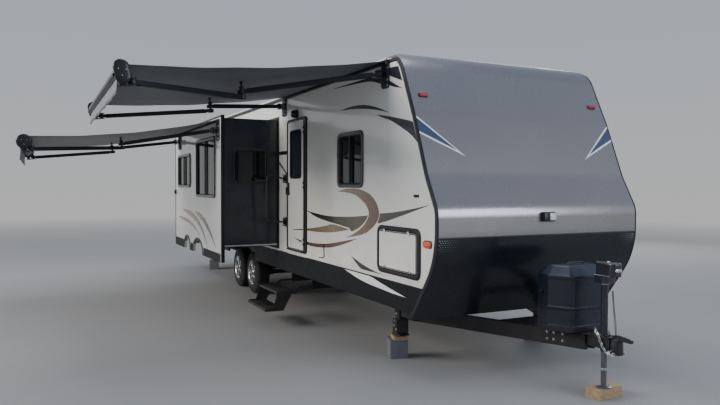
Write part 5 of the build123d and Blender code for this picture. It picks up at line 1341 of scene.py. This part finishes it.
def rim(name, x, side, body):
    """Ten paired spokes, dished, with a stepped lip."""
    c = N(x, side * 1.149, 0.350)
    ax = Vector((0, side, 0))
    bm = bmesh.new()
    lip = [(0.1935, -0.030), (0.1955, -0.013), (0.2025, -0.0035), (0.2030, 0.0), (0.1985, 0.0015), (0.1900, -0.002),
           (0.1820, -0.010), (0.1775, -0.018), (0.1755, -0.034), (0.1755, -0.060), (0.1860, -0.060)]
    rows = []
    for k in range(72):
        g = 2 * math.pi * k / 72
        rows.append([c + ax * h + Vector((math.sin(g), 0, math.cos(g))) * r for r, h in lip])
    rings(bm, rows, loop=True, cap=False)
    # spokes
    for k in range(10):
        g = 2 * math.pi * k / 10 + (0.115 if k % 2 else -0.115)
        rad = Vector((math.sin(g), 0, math.cos(g)))
        tan = Vector((math.cos(g), 0, -math.sin(g)))
        prof = [(0.050, 0.0165, -0.010, 0.034), (0.075, 0.0140, -0.012, 0.036), (0.110, 0.0120, -0.016, 0.036),
                (0.145, 0.0125, -0.014, 0.038), (0.170, 0.0165, -0.009, 0.040), (0.181, 0.0200, -0.009, 0.036)]
        rows = []
        for r, half, h, deep in prof:
            o = c + rad * r
            rows.append([o + tan * u + ax * v for u, v in ((-half, h - deep), (-half, h - 0.005), (-half * 0.7, h),
                         (half * 0.7, h), (half, h - 0.005), (half, h - deep))])
        rings(bm, rows)
    lathe(bm, [(0.060, -0.050), (0.064, -0.020), (0.062, -0.010), (0.056, -0.006), (0.040, -0.007), (0.036, -0.018),
               (0.036, -0.03)], c, ax, 48)
    ob = put(name, bm, "alloy", body, 30)
    bm = bmesh.new()
    lathe(bm, [(0.0345, -0.034), (0.0345, 0.008), (0.031, 0.013), (0.020, 0.016), (0.002, 0.017)], c, ax, 40)
    put(name + "_hub_cap", bm, "chrome", body, 35)
    bm = bmesh.new()
    for k in range(6):
        g = 2 * math.pi * k / 6 + 0.26
        o = c + Vector((math.sin(g), 0, math.cos(g))) * 0.0475 - ax * 0.008
        lathe(bm, [(0.0095, -0.006), (0.0095, 0.010), (0.0080, 0.016), (0.003, 0.018)], o, ax, 6)
    put(name + "_nuts", bm, "chrome", body, 30)
    bm = bmesh.new()
    o = c + Vector((math.sin(0.4), 0, math.cos(0.4))) * 0.178 - ax * 0.012
    tube(bm, [o - ax * 0.012, o + ax * 0.010 - Vector((math.sin(0.4), 0, math.cos(0.4))) * 0.006,
              o + ax * 0.020 - Vector((math.sin(0.4), 0, math.cos(0.4))) * 0.010], 0.004, 10)
    put(name + "_valve", bm, "trim_rubber", body, 40)
    return ob


for tag, side, which in (("front_right", -1, 0), ("front_left", 1, 0), ("rear_right", -1, 1), ("rear_left", 1, 1)):
    t = tyre(f"treaded_tyre_{tag}", AXLE_X[which], side, f"wheel_{tag}")
    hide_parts(f"tyre_{tag}")
    rim(f"alloy_wheel_{tag}", AXLE_X[which], side, f"wheel_{tag}")

# ---------------------------------------------------------------- running gear details
bm = bmesh.new()
for x in AXLE_X:
    for side in (-1, 1):
        for dx in (-0.036, 0.036):
            yc = side * 0.800
            pts = [N(x + dx, yc - 0.034, 0.475), N(x + dx, yc - 0.034, 0.345), N(x + dx, yc - 0.026, 0.318),
                   N(x + dx, yc, 0.306), N(x + dx, yc + 0.026, 0.318), N(x + dx, yc + 0.034, 0.345), N(x + dx, yc + 0.034, 0.475)]
            tube(bm, pts, 0.0065, 8)
        box(bm, x - 0.062, x + 0.062, yc - 0.048, yc + 0.048, 0.432, 0.444)
        for dx in (-0.036, 0.036):
            for dy in (-0.034, 0.034):
                bolt(bm, N(x + dx, yc + dy, 0.444), (0, 0, 1), 0.010, 0.014)
put("spring_u_bolts", bm, "axle_iron", "caravan", 35)

# ---------------------------------------------------------------- drawbar: bolts, chains, jack trims
DRAW = Vector((-1.847, -0.797, 0)).normalized()
for side, tag in ((-1, "right"), (1, "left")):
    along = Vector((DRAW.x, DRAW.y if side < 0 else -DRAW.y, 0))
    start = Vector((0.600, side * 0.058, 0))
    nrm = Vector((along.y, -along.x, 0)) * (1 if side > 0 else -1)
    if nrm.y * side < 0:
        nrm = -nrm
    bm = bmesh.new()
    for s in (0.216, 0.299, 0.362):
        for z in (0.494, 0.432):
            p = start + along * s
            bolt(bm, N(p.x, p.y, z), nrm, 0.0085, 0.011)
    put(f"drawbar_bolts_{tag}", bm, "zinc", "caravan", 35)


def links(bm, pts, size=0.034, wire=0.0042):
    """Chain links along a line."""
    pts = [Vector(p) for p in pts]
    run = [0.0]
    for a, b in zip(pts, pts[1:]):
        run.append(run[-1] + (b - a).length)
    pitch = size - 2 * wire - 0.001
    count = int(run[-1] / pitch)
    for k in range(count):
        s = (k + 0.5) * pitch
        j = max(i for i in range(len(run) - 1) if run[i] <= s)
        t = (s - run[j]) / (run[j + 1] - run[j])
        c = pts[j].lerp(pts[j + 1], t)
        d = (pts[j + 1] - pts[j]).normalized()
        u, v = turn_to(d)
        w = u if k % 2 else v
        loop = []
        half = size / 2 - size * 0.30
        for i in range(12):
            g = 2 * math.pi * i / 12
            du = math.cos(g) * size * 0.30
            loop.append(c + d * (du + (half if math.cos(g) > 0 else -half)) + w * math.sin(g) * size * 0.27)
        tube(bm, loop, wire, 6, loop=True)


def sagline(a, b, drop, n=18):
    a, b = Vector(a), Vector(b)
    out = []
    for i in range(n + 1):
        t = i / n
        p = a.lerp(b, t)
        out.append(p - Vector((0, 0, drop * 4 * t * (1 - t))))
    return out


bm = bmesh.new()
CHAIN = [(0.692, -0.048, 0.592), (0.716, -0.061, 0.580), (0.748, -0.067, 0.545), (0.775, -0.068, 0.495), (0.802, -0.068, 0.452),
         (0.836, -0.068, 0.420), (0.872, -0.067, 0.404), (0.904, -0.064, 0.410), (0.926, -0.057, 0.428)]
for s in (-1, 1):
    box(bm, 0.682, 0.700, s * 0.043 - 0.004, s * 0.043 + 0.004, 0.5365, 0.606)
put("chain_lugs", bm, "zinc", "caravan", 35)
bm = bmesh.new()
links(bm, [N(*q) for q in CHAIN])
put("safety_chain_right", bm, "zinc", "caravan", 40, doubles=0)
bm = bmesh.new()
links(bm, [N(x, -y, z) for x, y, z in CHAIN])
put("safety_chain_left", bm, "zinc", "caravan", 40, doubles=0)
bm = bmesh.new()
for s in (-1, 1):
    bolt(bm, N(0.688, s * 0.026, 0.5375), (0, 0, 1), 0.011, 0.014)
    tube(bm, [N(0.886, s * 0.0500, 0.440), N(0.886, s * 0.064, 0.440)], 0.006, 12)
put("chain_anchors", bm, "zinc", "caravan", 40)

# coupler: rounded head over the ball socket, lever and pin, weld beads
bm = bmesh.new()
lathe(bm, [(0.0515, 0.405), (0.0525, 0.409), (0.0525, 0.470), (0.0515, 0.505), (0.0465, 0.524), (0.0350, 0.538), (0.0180, 0.545),
           (0.002, 0.5465)], N(0.890, 0, 0), (0, 0, 1), 48)
# open underneath: the socket itself stays visible in the coupler node
put("coupler_dome", bm, "chassis_paint", "caravan", 40)
bm = bmesh.new()
tube(bm, [N(0.858, 0, 0.556), N(0.900, 0, 0.563), N(0.960, 0, 0.561), N(1.010, 0, 0.556), N(1.048, 0, 0.548)],
     [0.006, 0.0080, 0.0085, 0.0085, 0.007], 14)
tube(bm, [N(0.872, -0.020, 0.548), N(0.872, 0.020, 0.548)], 0.006, 14)
put("coupler_lever", bm, "chassis_paint", "caravan", 40)
bm = bmesh.new()
for y in (-0.055, 0.055):
    tube(bm, [N(0.64, y * 1.1, 0.5375), N(0.75, y, 0.5375), N(0.845, y * 0.93, 0.5375)], 0.0042, 8)
put("coupler_weld_beads", bm, "chassis_paint", "caravan", 40)

# jack: chrome rings, motor cap with a lamp bezel, screws, foot pin, pull loop
bm = bmesh.new()
lathe(bm, [(0.0305, 0.984), (0.040, 0.984), (0.042, 0.990), (0.041, 0.996), (0.0305, 0.997)], N(0.75, 0, 0), (0, 0, 1), 40)
put("jack_neck_ring", bm, "chrome", "caravan", 40)
bm = bmesh.new()
slab(bm, rrect(0.678, 0.902, -0.062, 0.062, 0.046), on_z(0), 1.158, 1.176, 0.014)
put("jack_motor_cap", bm, "jack_powder", "caravan", 40)
bm = bmesh.new()
slab(bm, rrect(-0.036, 0.036, 1.100, 1.128, 0.010), on_x(0.900), -0.001, 0.006, 0.004)
tube(bm, [N(0.690, -0.063, 1.062), N(0.86, -0.0635, 1.062)], 0.0042, 10)
tube(bm, [N(0.690, 0.063, 1.062), N(0.86, 0.0635, 1.062)], 0.0042, 10)
lathe(bm, [(0.014, 0.0), (0.014, 0.007), (0.011, 0.010), (0.002, 0.010)], N(0.79, 0, 1.175), (0, 0, 1), 24)
put("jack_bright_trim", bm, "chrome", "caravan", 40)
bm = bmesh.new()
for g in range(3):
    a = 2 * math.pi * g / 3 + 0.5
    bolt(bm, N(0.75 + 0.040 * math.cos(a), 0.040 * math.sin(a), 0.5465), (0, 0, 1), 0.0045, 0.006)
put("jack_flange_bolts", bm, "zinc", "caravan", 35)
bm = bmesh.new()
lathe(bm, [(0.0645, 0.0885), (0.0645, 0.0935), (0.058, 0.0985), (0.042, 0.1030), (0.031, 0.1070), (0.0245, 0.1105)],
      N(0.75, 0, 0), (0, 0, 1), 48)
tube(bm, [N(0.75, -0.040, 0.1035), N(0.75, 0.040, 0.1035)], 0.0055, 12)
tube(bm, [N(0.75, 0.040, 0.1035), N(0.756, 0.050, 0.1030), N(0.770, 0.050, 0.1020), N(0.782, 0.044, 0.1030)], 0.0022, 8)
put("jack_foot", bm, "grey_tube", "drawbar_jack_leg", 40)
bm = bmesh.new()
lathe(bm, [(0.0238, 0.236), (0.0247, 0.238), (0.0249, 0.246), (0.0247, 0.254), (0.0238, 0.256)], N(0.75, 0, 0), (0, 0, 1), 32)
put("jack_leg_band", bm, "zinc", "drawbar_jack_leg", 40)
# slim guard strip in front of the jack tube, beside the wiring
bm = bmesh.new()
rings(bm, [[N(x + u, y0_ + v, z) for u, v in ((-0.012, -0.003), (0.012, -0.003), (0.012, 0.003), (-0.012, 0.003))]
           for x, y0_, z in ((0.800, 0.046, 0.930), (0.808, 0.050, 0.80), (0.822, 0.056, 0.66), (0.830, 0.058, 0.537))])
put("jack_guard_strip", bm, "bright_strip", "caravan", 30, 0.001)

# ---------------------------------------------------------------- gas bottle cover: crown facets, ribs, strap, knobs
def cover_plan(x0, x1, half, fh):
    xm = x0 + (x1 - x0) * 0.45
    return [(x0, -half), (xm, -half), (x1, -fh), (x1, fh), (xm, half), (x0, half)]


def inset(poly, d):
    n = len(poly)
    out = []
    for i in range(n):
        p0, p1, p2 = Vector(poly[i - 1]), Vector(poly[i]), Vector(poly[(i + 1) % n])
        a, b = (p1 - p0).normalized(), (p2 - p1).normalized()
        na, nb = Vector((-a.y, a.x)), Vector((-b.y, b.x))
        m = (na + nb).normalized()
        out.append(tuple(p1 + m * (d / max(m.dot(na), 0.2))))
    return out


PLAN = cover_plan(0.235, 0.565, 0.290, 0.200)


def soften(poly, r, n=5):
    pts = []
    m = len(poly)
    for i in range(m):
        p = Vector(poly[i])
        a = (Vector(poly[i - 1]) - p).normalized()
        b = (Vector(poly[(i + 1) % m]) - p).normalized()
        half = a.angle(b) / 2
        t = r / math.tan(half)
        c = p + (a + b).normalized() * (r / math.sin(half))
        p0, p1 = p + a * t, p + b * t
        a0, a1 = math.atan2(p0.y - c.y, p0.x - c.x), math.atan2(p1.y - c.y, p1.x - c.x)
        d = (a1 - a0 + math.pi) % (2 * math.pi) - math.pi
        for k in range(n + 1):
            g = a0 + d * k / n
            pts.append((c.x + r * math.cos(g), c.y + r * math.sin(g)))
    return pts


# outer moulding of the cover, one softened shell over the plain one
bm = bmesh.new()
rows = []
for z, d, r in ((0.536, -0.002, 0.050), (0.545, -0.006, 0.052), (0.590, -0.006, 0.052), (0.597, -0.002, 0.050),
                (0.735, -0.0022, 0.050), (0.742, -0.010, 0.054), (0.756, -0.0105, 0.054), (0.763, -0.003, 0.050),
                (0.860, -0.003, 0.050), (1.000, -0.003, 0.050), (1.012, -0.009, 0.052), (1.030, -0.009, 0.052),
                (1.037, -0.004, 0.050)):
    rows.append([N(x, y, z) for x, y in soften(inset(PLAN, d), r)])
vs = rows
rings(bm, vs, cap=False)
inner_rows = [[N(x, y, z) for x, y in soften(inset(PLAN, 0.0006), 0.046)] for z in (1.037, 0.536)]
o0 = rows[-1]
rings(bm, [rows[-1], inner_rows[0], inner_rows[1], rows[0]], cap=False)
put("gas_cover_shell", bm, "cover_plastic", "caravan", 25)
bm = bmesh.new()
rows = [[N(x, y, z) for x, y in soften(inset(PLAN, d), r)] for z, d, r in ((1.034, -0.004, 0.050), (1.040, 0.004, 0.047),
        (1.108, 0.056, 0.030), (1.114, 0.066, 0.028), (1.1155, 0.085, 0.025))]
rings(bm, rows)
put("gas_cover_crown", bm, "cover_crown_painted_skylight", "caravan", 14)
bm = bmesh.new()
tube(bm, [N(0.40, -0.10, 1.113), N(0.40, -0.085, 1.135), N(0.40, 0.085, 1.135), N(0.40, 0.10, 1.113)], 0.0075, 12)
put("gas_cover_grip", bm, "trim_rubber", "caravan", 40)
bm = bmesh.new()
for side in (-1, 1):
    lathe(bm, [(0.016, -0.001), (0.016, 0.010), (0.012, 0.016), (0.003, 0.018)], N(0.300, side * 0.299, 0.88), (0, side, 0), 20)
put("gas_cover_knobs", bm, "gloss_trim", "caravan", 40)

# ---------------------------------------------------------------- stabilisers: side flanges, bolts, pin heads
for tag, which, side in (("front_right", 0, -1), ("front_left", 0, 1), ("rear_right", 1, -1), ("rear_left", 1, 1)):
    x, y = (-1.130, -9.300)[which], side * 0.950
    bm = bmesh.new()
    # folded side flanges
    for s in (-1, 1):
        rows = []
        for z, half in ((0.4204, 0.041), (0.45, 0.038), (0.500, 0.036)):
            rows.append([N(x - half, y + s * 0.0296, z), N(x + half, y + s * 0.0296, z), N(x + half, y + s * 0.0336, z),
                         N(x - half, y + s * 0.0336, z)])
        rings(bm, rows)
    put(f"stabiliser_flanges_{tag}", bm, "chassis_paint", f"stabiliser_{tag}", 30)
    bm = bmesh.new()
    for z, off in ((0.31, 0.045), (0.345, -0.02), (0.40, 0.0)):
        bolt(bm, N(x + off * 0.7, y + side * 0.0698, z + 0.008), (0, side, 0), 0.009, 0.009)
    put(f"stabiliser_bolts_{tag}", bm, "zinc", f"stabiliser_{tag}", 35)
    bm = bmesh.new()
    for s in (-1, 1):
        lathe(bm, [(0.010, 0.043), (0.017, 0.044), (0.017, 0.052), (0.013, 0.056), (0.002, 0.056)], N(x, y, 0.480), (0, s, 0), 20)
    put(f"stabiliser_pin_heads_{tag}", bm, "zinc", "caravan", 35)

# ---------------------------------------------------------------- folding table's bracket, low on the camp side
bm = bmesh.new()
path = [(-2.573, 1.079), (-2.571, 1.060), (-2.557, 0.962), (-2.560, 0.946), (-2.578, 0.937), (-2.724, 0.925)]
rows = []
for i, (u, v) in enumerate(path):
    a, b = Vector(path[max(i - 1, 0)]), Vector(path[min(i + 1, len(path) - 1)])
    t = (b - a).normalized()
    n2 = Vector((-t.y, t.x)) * 0.0045
    rows.append([N(u - n2.x, -HALF_W + 0.0006, v - n2.y), N(u - n2.x, -HALF_W - 0.010, v - n2.y),
                 N(u + n2.x, -HALF_W - 0.010, v + n2.y), N(u + n2.x, -HALF_W + 0.0006, v + n2.y)])
rings(bm, rows)
slab(bm, rrect(-2.590, -2.558, 1.072, 1.100, 0.006), on_y(-1, HALF_W), -0.0005, 0.006, 0.002)
put("table_bracket", bm, "gloss_trim", "caravan", 35)
# flat hanging rail with its brace, on the narrow wall between the room and the entry door
bm = bmesh.new()
slab(bm, rrect(-4.232, -3.884, 2.266, 2.314, 0.010), on_y(-1, HALF_W), -0.0005, 0.012, 0.003)
a, b = Vector((-4.236, 2.156)), Vector((-3.892, 1.974))
n2 = Vector((-(b - a).y, (b - a).x)).normalized()
wa, wb = n2 * 0.011, n2 * 0.006
rings(bm, [[N(q.x - w.x, -HALF_W + 0.0005, q.y - w.y), N(q.x - w.x, -HALF_W - 0.010, q.y - w.y),
            N(q.x + w.x, -HALF_W - 0.010, q.y + w.y), N(q.x + w.x, -HALF_W + 0.0005, q.y + w.y)]
           for q, w in ((a, wa), (b, wb))])
put("side_hanging_rail", bm, "gloss_trim", "caravan", 35)

# ---------------------------------------------------------------- steps: tread plates with raised bars, edge trims
bm = bmesh.new()
for y0, y1, z in ((-1.640, -1.390, 0.455), (-1.800, -1.560, 0.248)):
    slab(bm, rrect(-3.842, -3.108, y0 + 0.004, y1 - 0.004, 0.012), on_z(0), z - 0.0004, z + 0.0028, 0.0015)
    nx, ny = 26, 8
    for j in range(ny):
        for i in range(nx):
            cx_ = -3.822 + (i + 0.5) * 0.694 / nx
            cy_ = y0 + 0.020 + (j + 0.5) * (y1 - y0 - 0.040) / ny
            g = math.radians(40 if (i + j) % 2 else -40)
            dx, dy = math.cos(g) * 0.009, math.sin(g) * 0.009
            px, py = -math.sin(g) * 0.0028, math.cos(g) * 0.0028
            rows = [[N(cx_ + a * dx + b * px, cy_ + a * dy + b * py, z + 0.0024) for a, b in ((-1, -1), (1, -1), (1, 1), (-1, 1))],
                    [N(cx_ + a * dx * 0.8 + b * px * 0.5, cy_ + a * dy * 0.8 + b * py * 0.5, z + 0.0046)
                     for a, b in ((-1, -1), (1, -1), (1, 1), (-1, 1))]]
            rings(bm, rows)
put("step_tread_plates", bm, "step_powder", "entry_steps", 40)
bm = bmesh.new()
for y, z in ((-1.643, 0.443), (-1.803, 0.235)):
    rings(bm, [[N(x, y + u, z + v) for u, v in ((0.003, -0.014), (-0.003, -0.013), (-0.0055, -0.008), (-0.0055, 0.010),
               (-0.002, 0.0155), (0.010, 0.0158), (0.010, 0.0125), (0.003, 0.012))] for x in (-3.848, -3.102)])
put("step_nosings", bm, "step_powder", "entry_steps", 35)

# ---------------------------------------------------------------- grab handle: ribbed grip, bracket rivets
bm = bmesh.new()
rows = []
n = 40
for i in range(n + 1):
    z = 1.44 + 0.40 * i / n
    r = 0.0165 + (0.0012 if i % 2 else 0.0)
    rows.append([N(-3.960 + r * math.cos(2 * math.pi * k / 20), -1.504 + r * math.sin(2 * math.pi * k / 20), z) for k in range(20)])
rings(bm, rows)
put("grab_handle_grip", bm, "grip_rubber", "grab_handle", 40)
bm = bmesh.new()
for z in (1.310, 1.920):
    for dz in (-0.050, 0.050):
        rivet(bm, N(-3.960 - 0.018, -1.2315, z + dz * 0.9), (0, -1, 0), 0.0055, 0.004)
        rivet(bm, N(-3.960 + 0.018, -1.2315, z + dz * 0.9), (0, -1, 0), 0.0055, 0.004)
put("grab_handle_rivets", bm, "zinc", "caravan", 40)

# ---------------------------------------------------------------- roof: air conditioner louvres, vent domes, sealant, pipes
bm = bmesh.new()
for side in (-1, 1):
    for i in range(9):
        x = -5.62 + i * 0.075
        z0_, z1_ = 3.204, 3.339
        y_low = side * (0.350 - (z0_ - ROOF_Z) / 0.270 * 0.070)
        y_top = side * (0.350 - (z1_ - ROOF_Z) / 0.270 * 0.070)
        rows = []
        for z, y in ((z0_, y_low), (z1_, y_top)):
            rows.append([N(x - 0.024, y + side * 0.0005, z), N(x + 0.024, y + side * 0.0005, z), N(x + 0.022, y + side * 0.010, z - 0.006),
                         N(x - 0.010, y + side * 0.012, z - 0.006)])
        rings(bm, rows)
put("air_conditioner_louvres", bm, "trim_rubber", "caravan", 30)
bm = bmesh.new()
cx_, cy_ = -5.290, 0.0
rows = []
for z, hx, hy, r in ((3.416, 0.384, 0.284, 0.080), (3.426, 0.382, 0.282, 0.080), (3.435, 0.366, 0.266, 0.070), (3.440, 0.30, 0.20, 0.05)):
    rows.append([N(cx_ + u, cy_ + v, z) for u, v in rrect(-hx, hx, -hy, hy, r)])
rings(bm, rows)
put("air_conditioner_lid", bm, "unit_plastic", "caravan", 30)
bm = bmesh.new()
for x in (-2.300, -7.900):
    rows = []
    for z, h, r in ((3.244, 0.216, 0.060), (3.251, 0.214, 0.060), (3.264, 0.196, 0.055), (3.273, 0.150, 0.045), (3.277, 0.08, 0.03)):
        rows.append([N(x + u, v, z) for u, v in rrect(-h, h, -h, h, r)])
    rings(bm, rows)
put("vent_domes", bm, "unit_plastic", "caravan", 40)
bm = bmesh.new()
rows = []
ys = np.linspace(-1.14, 1.14, 40)
for i, y in enumerate(ys):
    zc = ROOF_Z - 0.002 - 0.018 * (y / 1.165) ** 2
    wob = 0.004 * math.sin(i * 1.7)
    rows.append([N(-1.000 + u + wob * (1 if u > 0 else -1), y, zc + v) for u, v in ((-0.035, -0.001), (-0.030, 0.0035),
                 (0.0, 0.0055), (0.030, 0.0035), (0.035, -0.001))])
rings(bm, rows)
rows = []
for i, y in enumerate(ys):
    zc = ROOF_Z - 0.002 - 0.018 * (y / 1.165) ** 2
    rows.append([N(REAR + 0.10 + u, y, zc + v) for u, v in ((-0.030, -0.001), (-0.025, 0.0035), (0.0, 0.005), (0.025, 0.0035),
                 (0.030, -0.001))])
rings(bm, rows)
for x in (-2.300, -7.900):
    frame_ring(bm, (x - 0.19, x + 0.19, -0.19, 0.19), 0.02, on_z(3.1495), [(0.030, -0.004), (0.026, 0.004), (0.010, 0.009),
               (-0.002, 0.010), (-0.002, -0.004)])
put("roof_sealant", bm, "sealant", "caravan", 40)
bm = bmesh.new()
for x, y in ((-3.6, 0.62), (-8.6, -0.55), (-6.4, 0.70)):
    zc = ROOF_Z - 0.002 - 0.018 * (y / 1.165) ** 2
    lathe(bm, [(0.075, -0.002), (0.073, 0.006), (0.040, 0.012), (0.038, 0.060), (0.060, 0.064), (0.062, 0.080), (0.040, 0.090),
               (0.004, 0.092)], N(x, y, zc), (0, 0, 1), 28)
put("roof_pipe_caps", bm, "unit_plastic", "caravan", 40)

# ---------------------------------------------------------------- left side and rear fittings, from the type
fl = on_y(1, HALF_W)
bm = bmesh.new()
for xa, xb, za, zb in ((-6.05, -5.62, 1.02, 1.42), (-2.95, -2.55, 1.00, 1.32)):
    slab(bm, rrect(xa, xb, za, zb, 0.018), fl, -0.0006, 0.012, 0.005)
    for i in range(7):
        z = za + 0.06 + i * (zb - za - 0.12) / 6
        rings(bm, [[fl(x, z + dz, w) for dz, w in ((-0.010, 0.011), (0.006, 0.011), (0.010, 0.018), (-0.004, 0.018))]
                   for x in (xa + 0.05, xb - 0.05)])
put("left_vent_covers", bm, "fitting_white", "caravan", 35)
bm = bmesh.new()
for xa, za in ((-3.45, 1.05), (-8.15, 1.05), (-7.60, 1.10)):
    slab(bm, rrect(xa, xa + 0.15, za, za + 0.15, 0.020), fl, -0.0006, 0.010, 0.004)
    slab(bm, rrect(xa + 0.018, xa + 0.132, za + 0.018, za + 0.132, 0.012), fl, 0.008, 0.018, 0.005)
    slab(bm, rrect(xa + 0.062, xa + 0.088, za + 0.024, za + 0.040, 0.005), fl, 0.016, 0.024, 0.003)
put("left_service_hatches", bm, "fitting_white", "caravan", 35)
bm = bmesh.new()
slab(bm, rrect(-0.155, 0.155, 1.30, 1.46, 0.012), on_x(REAR, -1), -0.0006, 0.006, 0.003)
put("rear_plate_holder", bm, "paper_grey", "caravan", 35)
bm = bmesh.new()
for side in (-1, 1):
    y0_, y1_ = sorted((side * 1.000, side * 1.130))
    frame_ring(bm, (y0_, y1_, 0.980, 1.280), 0.025, on_x(REAR, -1), [(0.012, -0.0006), (0.012, 0.010), (0.004, 0.016),
               (-0.001, 0.012), (-0.001, -0.0006)], 5)
put("tail_lamp_bezels", bm, "trim_rubber", "caravan", 35)
bm = bmesh.new()
for side in (-1, 1):
    y0_, y1_ = sorted((side * 1.012, side * 1.118))
    slab(bm, rrect(y0_, y1_, 1.085, 1.145, 0.015), on_x(REAR, -1), 0.0295, 0.0335, 0.003)
put("reversing_lenses", bm, "clear_lens", "caravan", 35)
bm = bmesh.new()
for side in (-1, 1):
    y0_, y1_ = sorted((side * 1.148, side * 1.158))
    slab(bm, rrect(REAR - 0.108, REAR - 0.002, 0.517, 0.623, 0.012), lambda u, v, w, s=side: N(u, s * (1.148 + w), v), 0.0, 0.012, 0.004)
put("bumper_caps", bm, "trim_rubber", "caravan", 35)

# ---------------------------------------------------------------- floor, lights, camera
bm = bmesh.new()
s = 140.0
for x, y in ((-s, -s), (s, -s), (s, s), (-s, s)):
    bm.verts.new((x, y, 0.0))
bm.faces.new(bm.verts)
me = bpy.data.meshes.new("studio_floor")
bm.to_mesh(me)
bm.free()
me.materials.append(MATS["studio_floor"])
nt = MATS["studio_floor"].node_tree
base = next(n for n in nt.nodes if n.type == "BSDF_PRINCIPLED")
out = next(n for n in nt.nodes if n.type == "OUTPUT_MATERIAL")
co = nt.nodes.new("ShaderNodeTexCoord")
far = nt.nodes.new("ShaderNodeVectorMath")
far.operation = "LENGTH"
nt.links.new(co.outputs["Object"], far.inputs[0])
glow = nt.nodes.new("ShaderNodeEmission")
glow.inputs["Color"].default_value = (0.84, 0.84, 0.835, 1)
glow.inputs["Strength"].default_value = 0.62
blend = nt.nodes.new("ShaderNodeMixShader")
nt.links.new(span(nt, far.outputs["Value"], 7.5, 30.0), blend.inputs[0])
nt.links.new(base.outputs[0], blend.inputs[1])
nt.links.new(glow.outputs[0], blend.inputs[2])
nt.links.new(blend.outputs[0], out.inputs["Surface"])
floor = bpy.data.objects.new("studio_floor", me)
bpy.context.scene.collection.objects.link(floor)

world = bpy.data.worlds.new("studio")
bpy.context.scene.world = world
world.use_nodes = True
wn = world.node_tree
bg = wn.nodes["Background"]
tc = wn.nodes.new("ShaderNodeTexCoord")
zc = axis(wn, tc.outputs["Generated"], 2)
wn.links.new(ramp(wn, span(wn, zc, -0.05, 0.9), [(0.0, (0.84, 0.84, 0.835)), (0.12, (0.80, 0.82, 0.85)),
                                                  (0.35, (0.68, 0.75, 0.86)), (1.0, (0.42, 0.55, 0.78))]), bg.inputs[0])
bg.inputs[1].default_value = 0.62


def area(name, at, aim, size, power, colour):
    d = bpy.data.lights.new(name, "AREA")
    d.shape = "RECTANGLE"
    d.size, d.size_y = size
    d.energy = power
    d.color = colour
    o = bpy.data.objects.new(name, d)
    bpy.context.scene.collection.objects.link(o)
    o.location = N(*at)
    o.rotation_euler = (N(*aim) - N(*at)).to_track_quat("-Z", "Y").to_euler()


area("key", (-6.0, -16.0, 7.5), (-3.0, -1.0, 1.4), (10, 5), 2400, (1.0, 0.94, 0.86))
area("fill_front", (10.0, 5.0, 5.0), (0.0, 0.0, 1.6), (7, 5), 700, (0.86, 0.92, 1.0))
area("top", (-4.0, 0.0, 12.0), (-4.0, 0.0, 0.0), (14, 8), 900, (0.95, 0.97, 1.0))
area("back", (-12.0, 12.0, 6.0), (-5.0, 0.0, 2.0), (8, 4), 900, (1.0, 0.96, 0.9))

yaw, pitch, roll = math.radians(26.013), math.radians(1.440), math.radians(0.177)
fwd = Vector((-math.cos(yaw) * math.cos(pitch), math.sin(yaw) * math.cos(pitch), -math.sin(pitch)))
right = fwd.cross(Vector((0, 0, 1))).normalized()
upv = right.cross(fwd).normalized()
r2 = right * math.cos(roll) + upv * math.sin(roll)
u2 = -right * math.sin(roll) + upv * math.cos(roll)
cam_data = bpy.data.cameras.new("camera")
cam = bpy.data.objects.new("camera", cam_data)
bpy.context.scene.collection.objects.link(cam)
m = Matrix.Identity(4)
for i in range(3):
    m[i][0], m[i][1], m[i][2] = r2[i], u2[i], -fwd[i]
loc = N(4.8995, -4.3743, 1.8214)
for i in range(3):
    m[i][3] = loc[i]
cam.matrix_world = m
cam_data.sensor_width = 36.0
cam_data.lens = 657.6 * 36.0 / 720.0
cam_data.clip_end = 300
bpy.context.scene.camera = cam
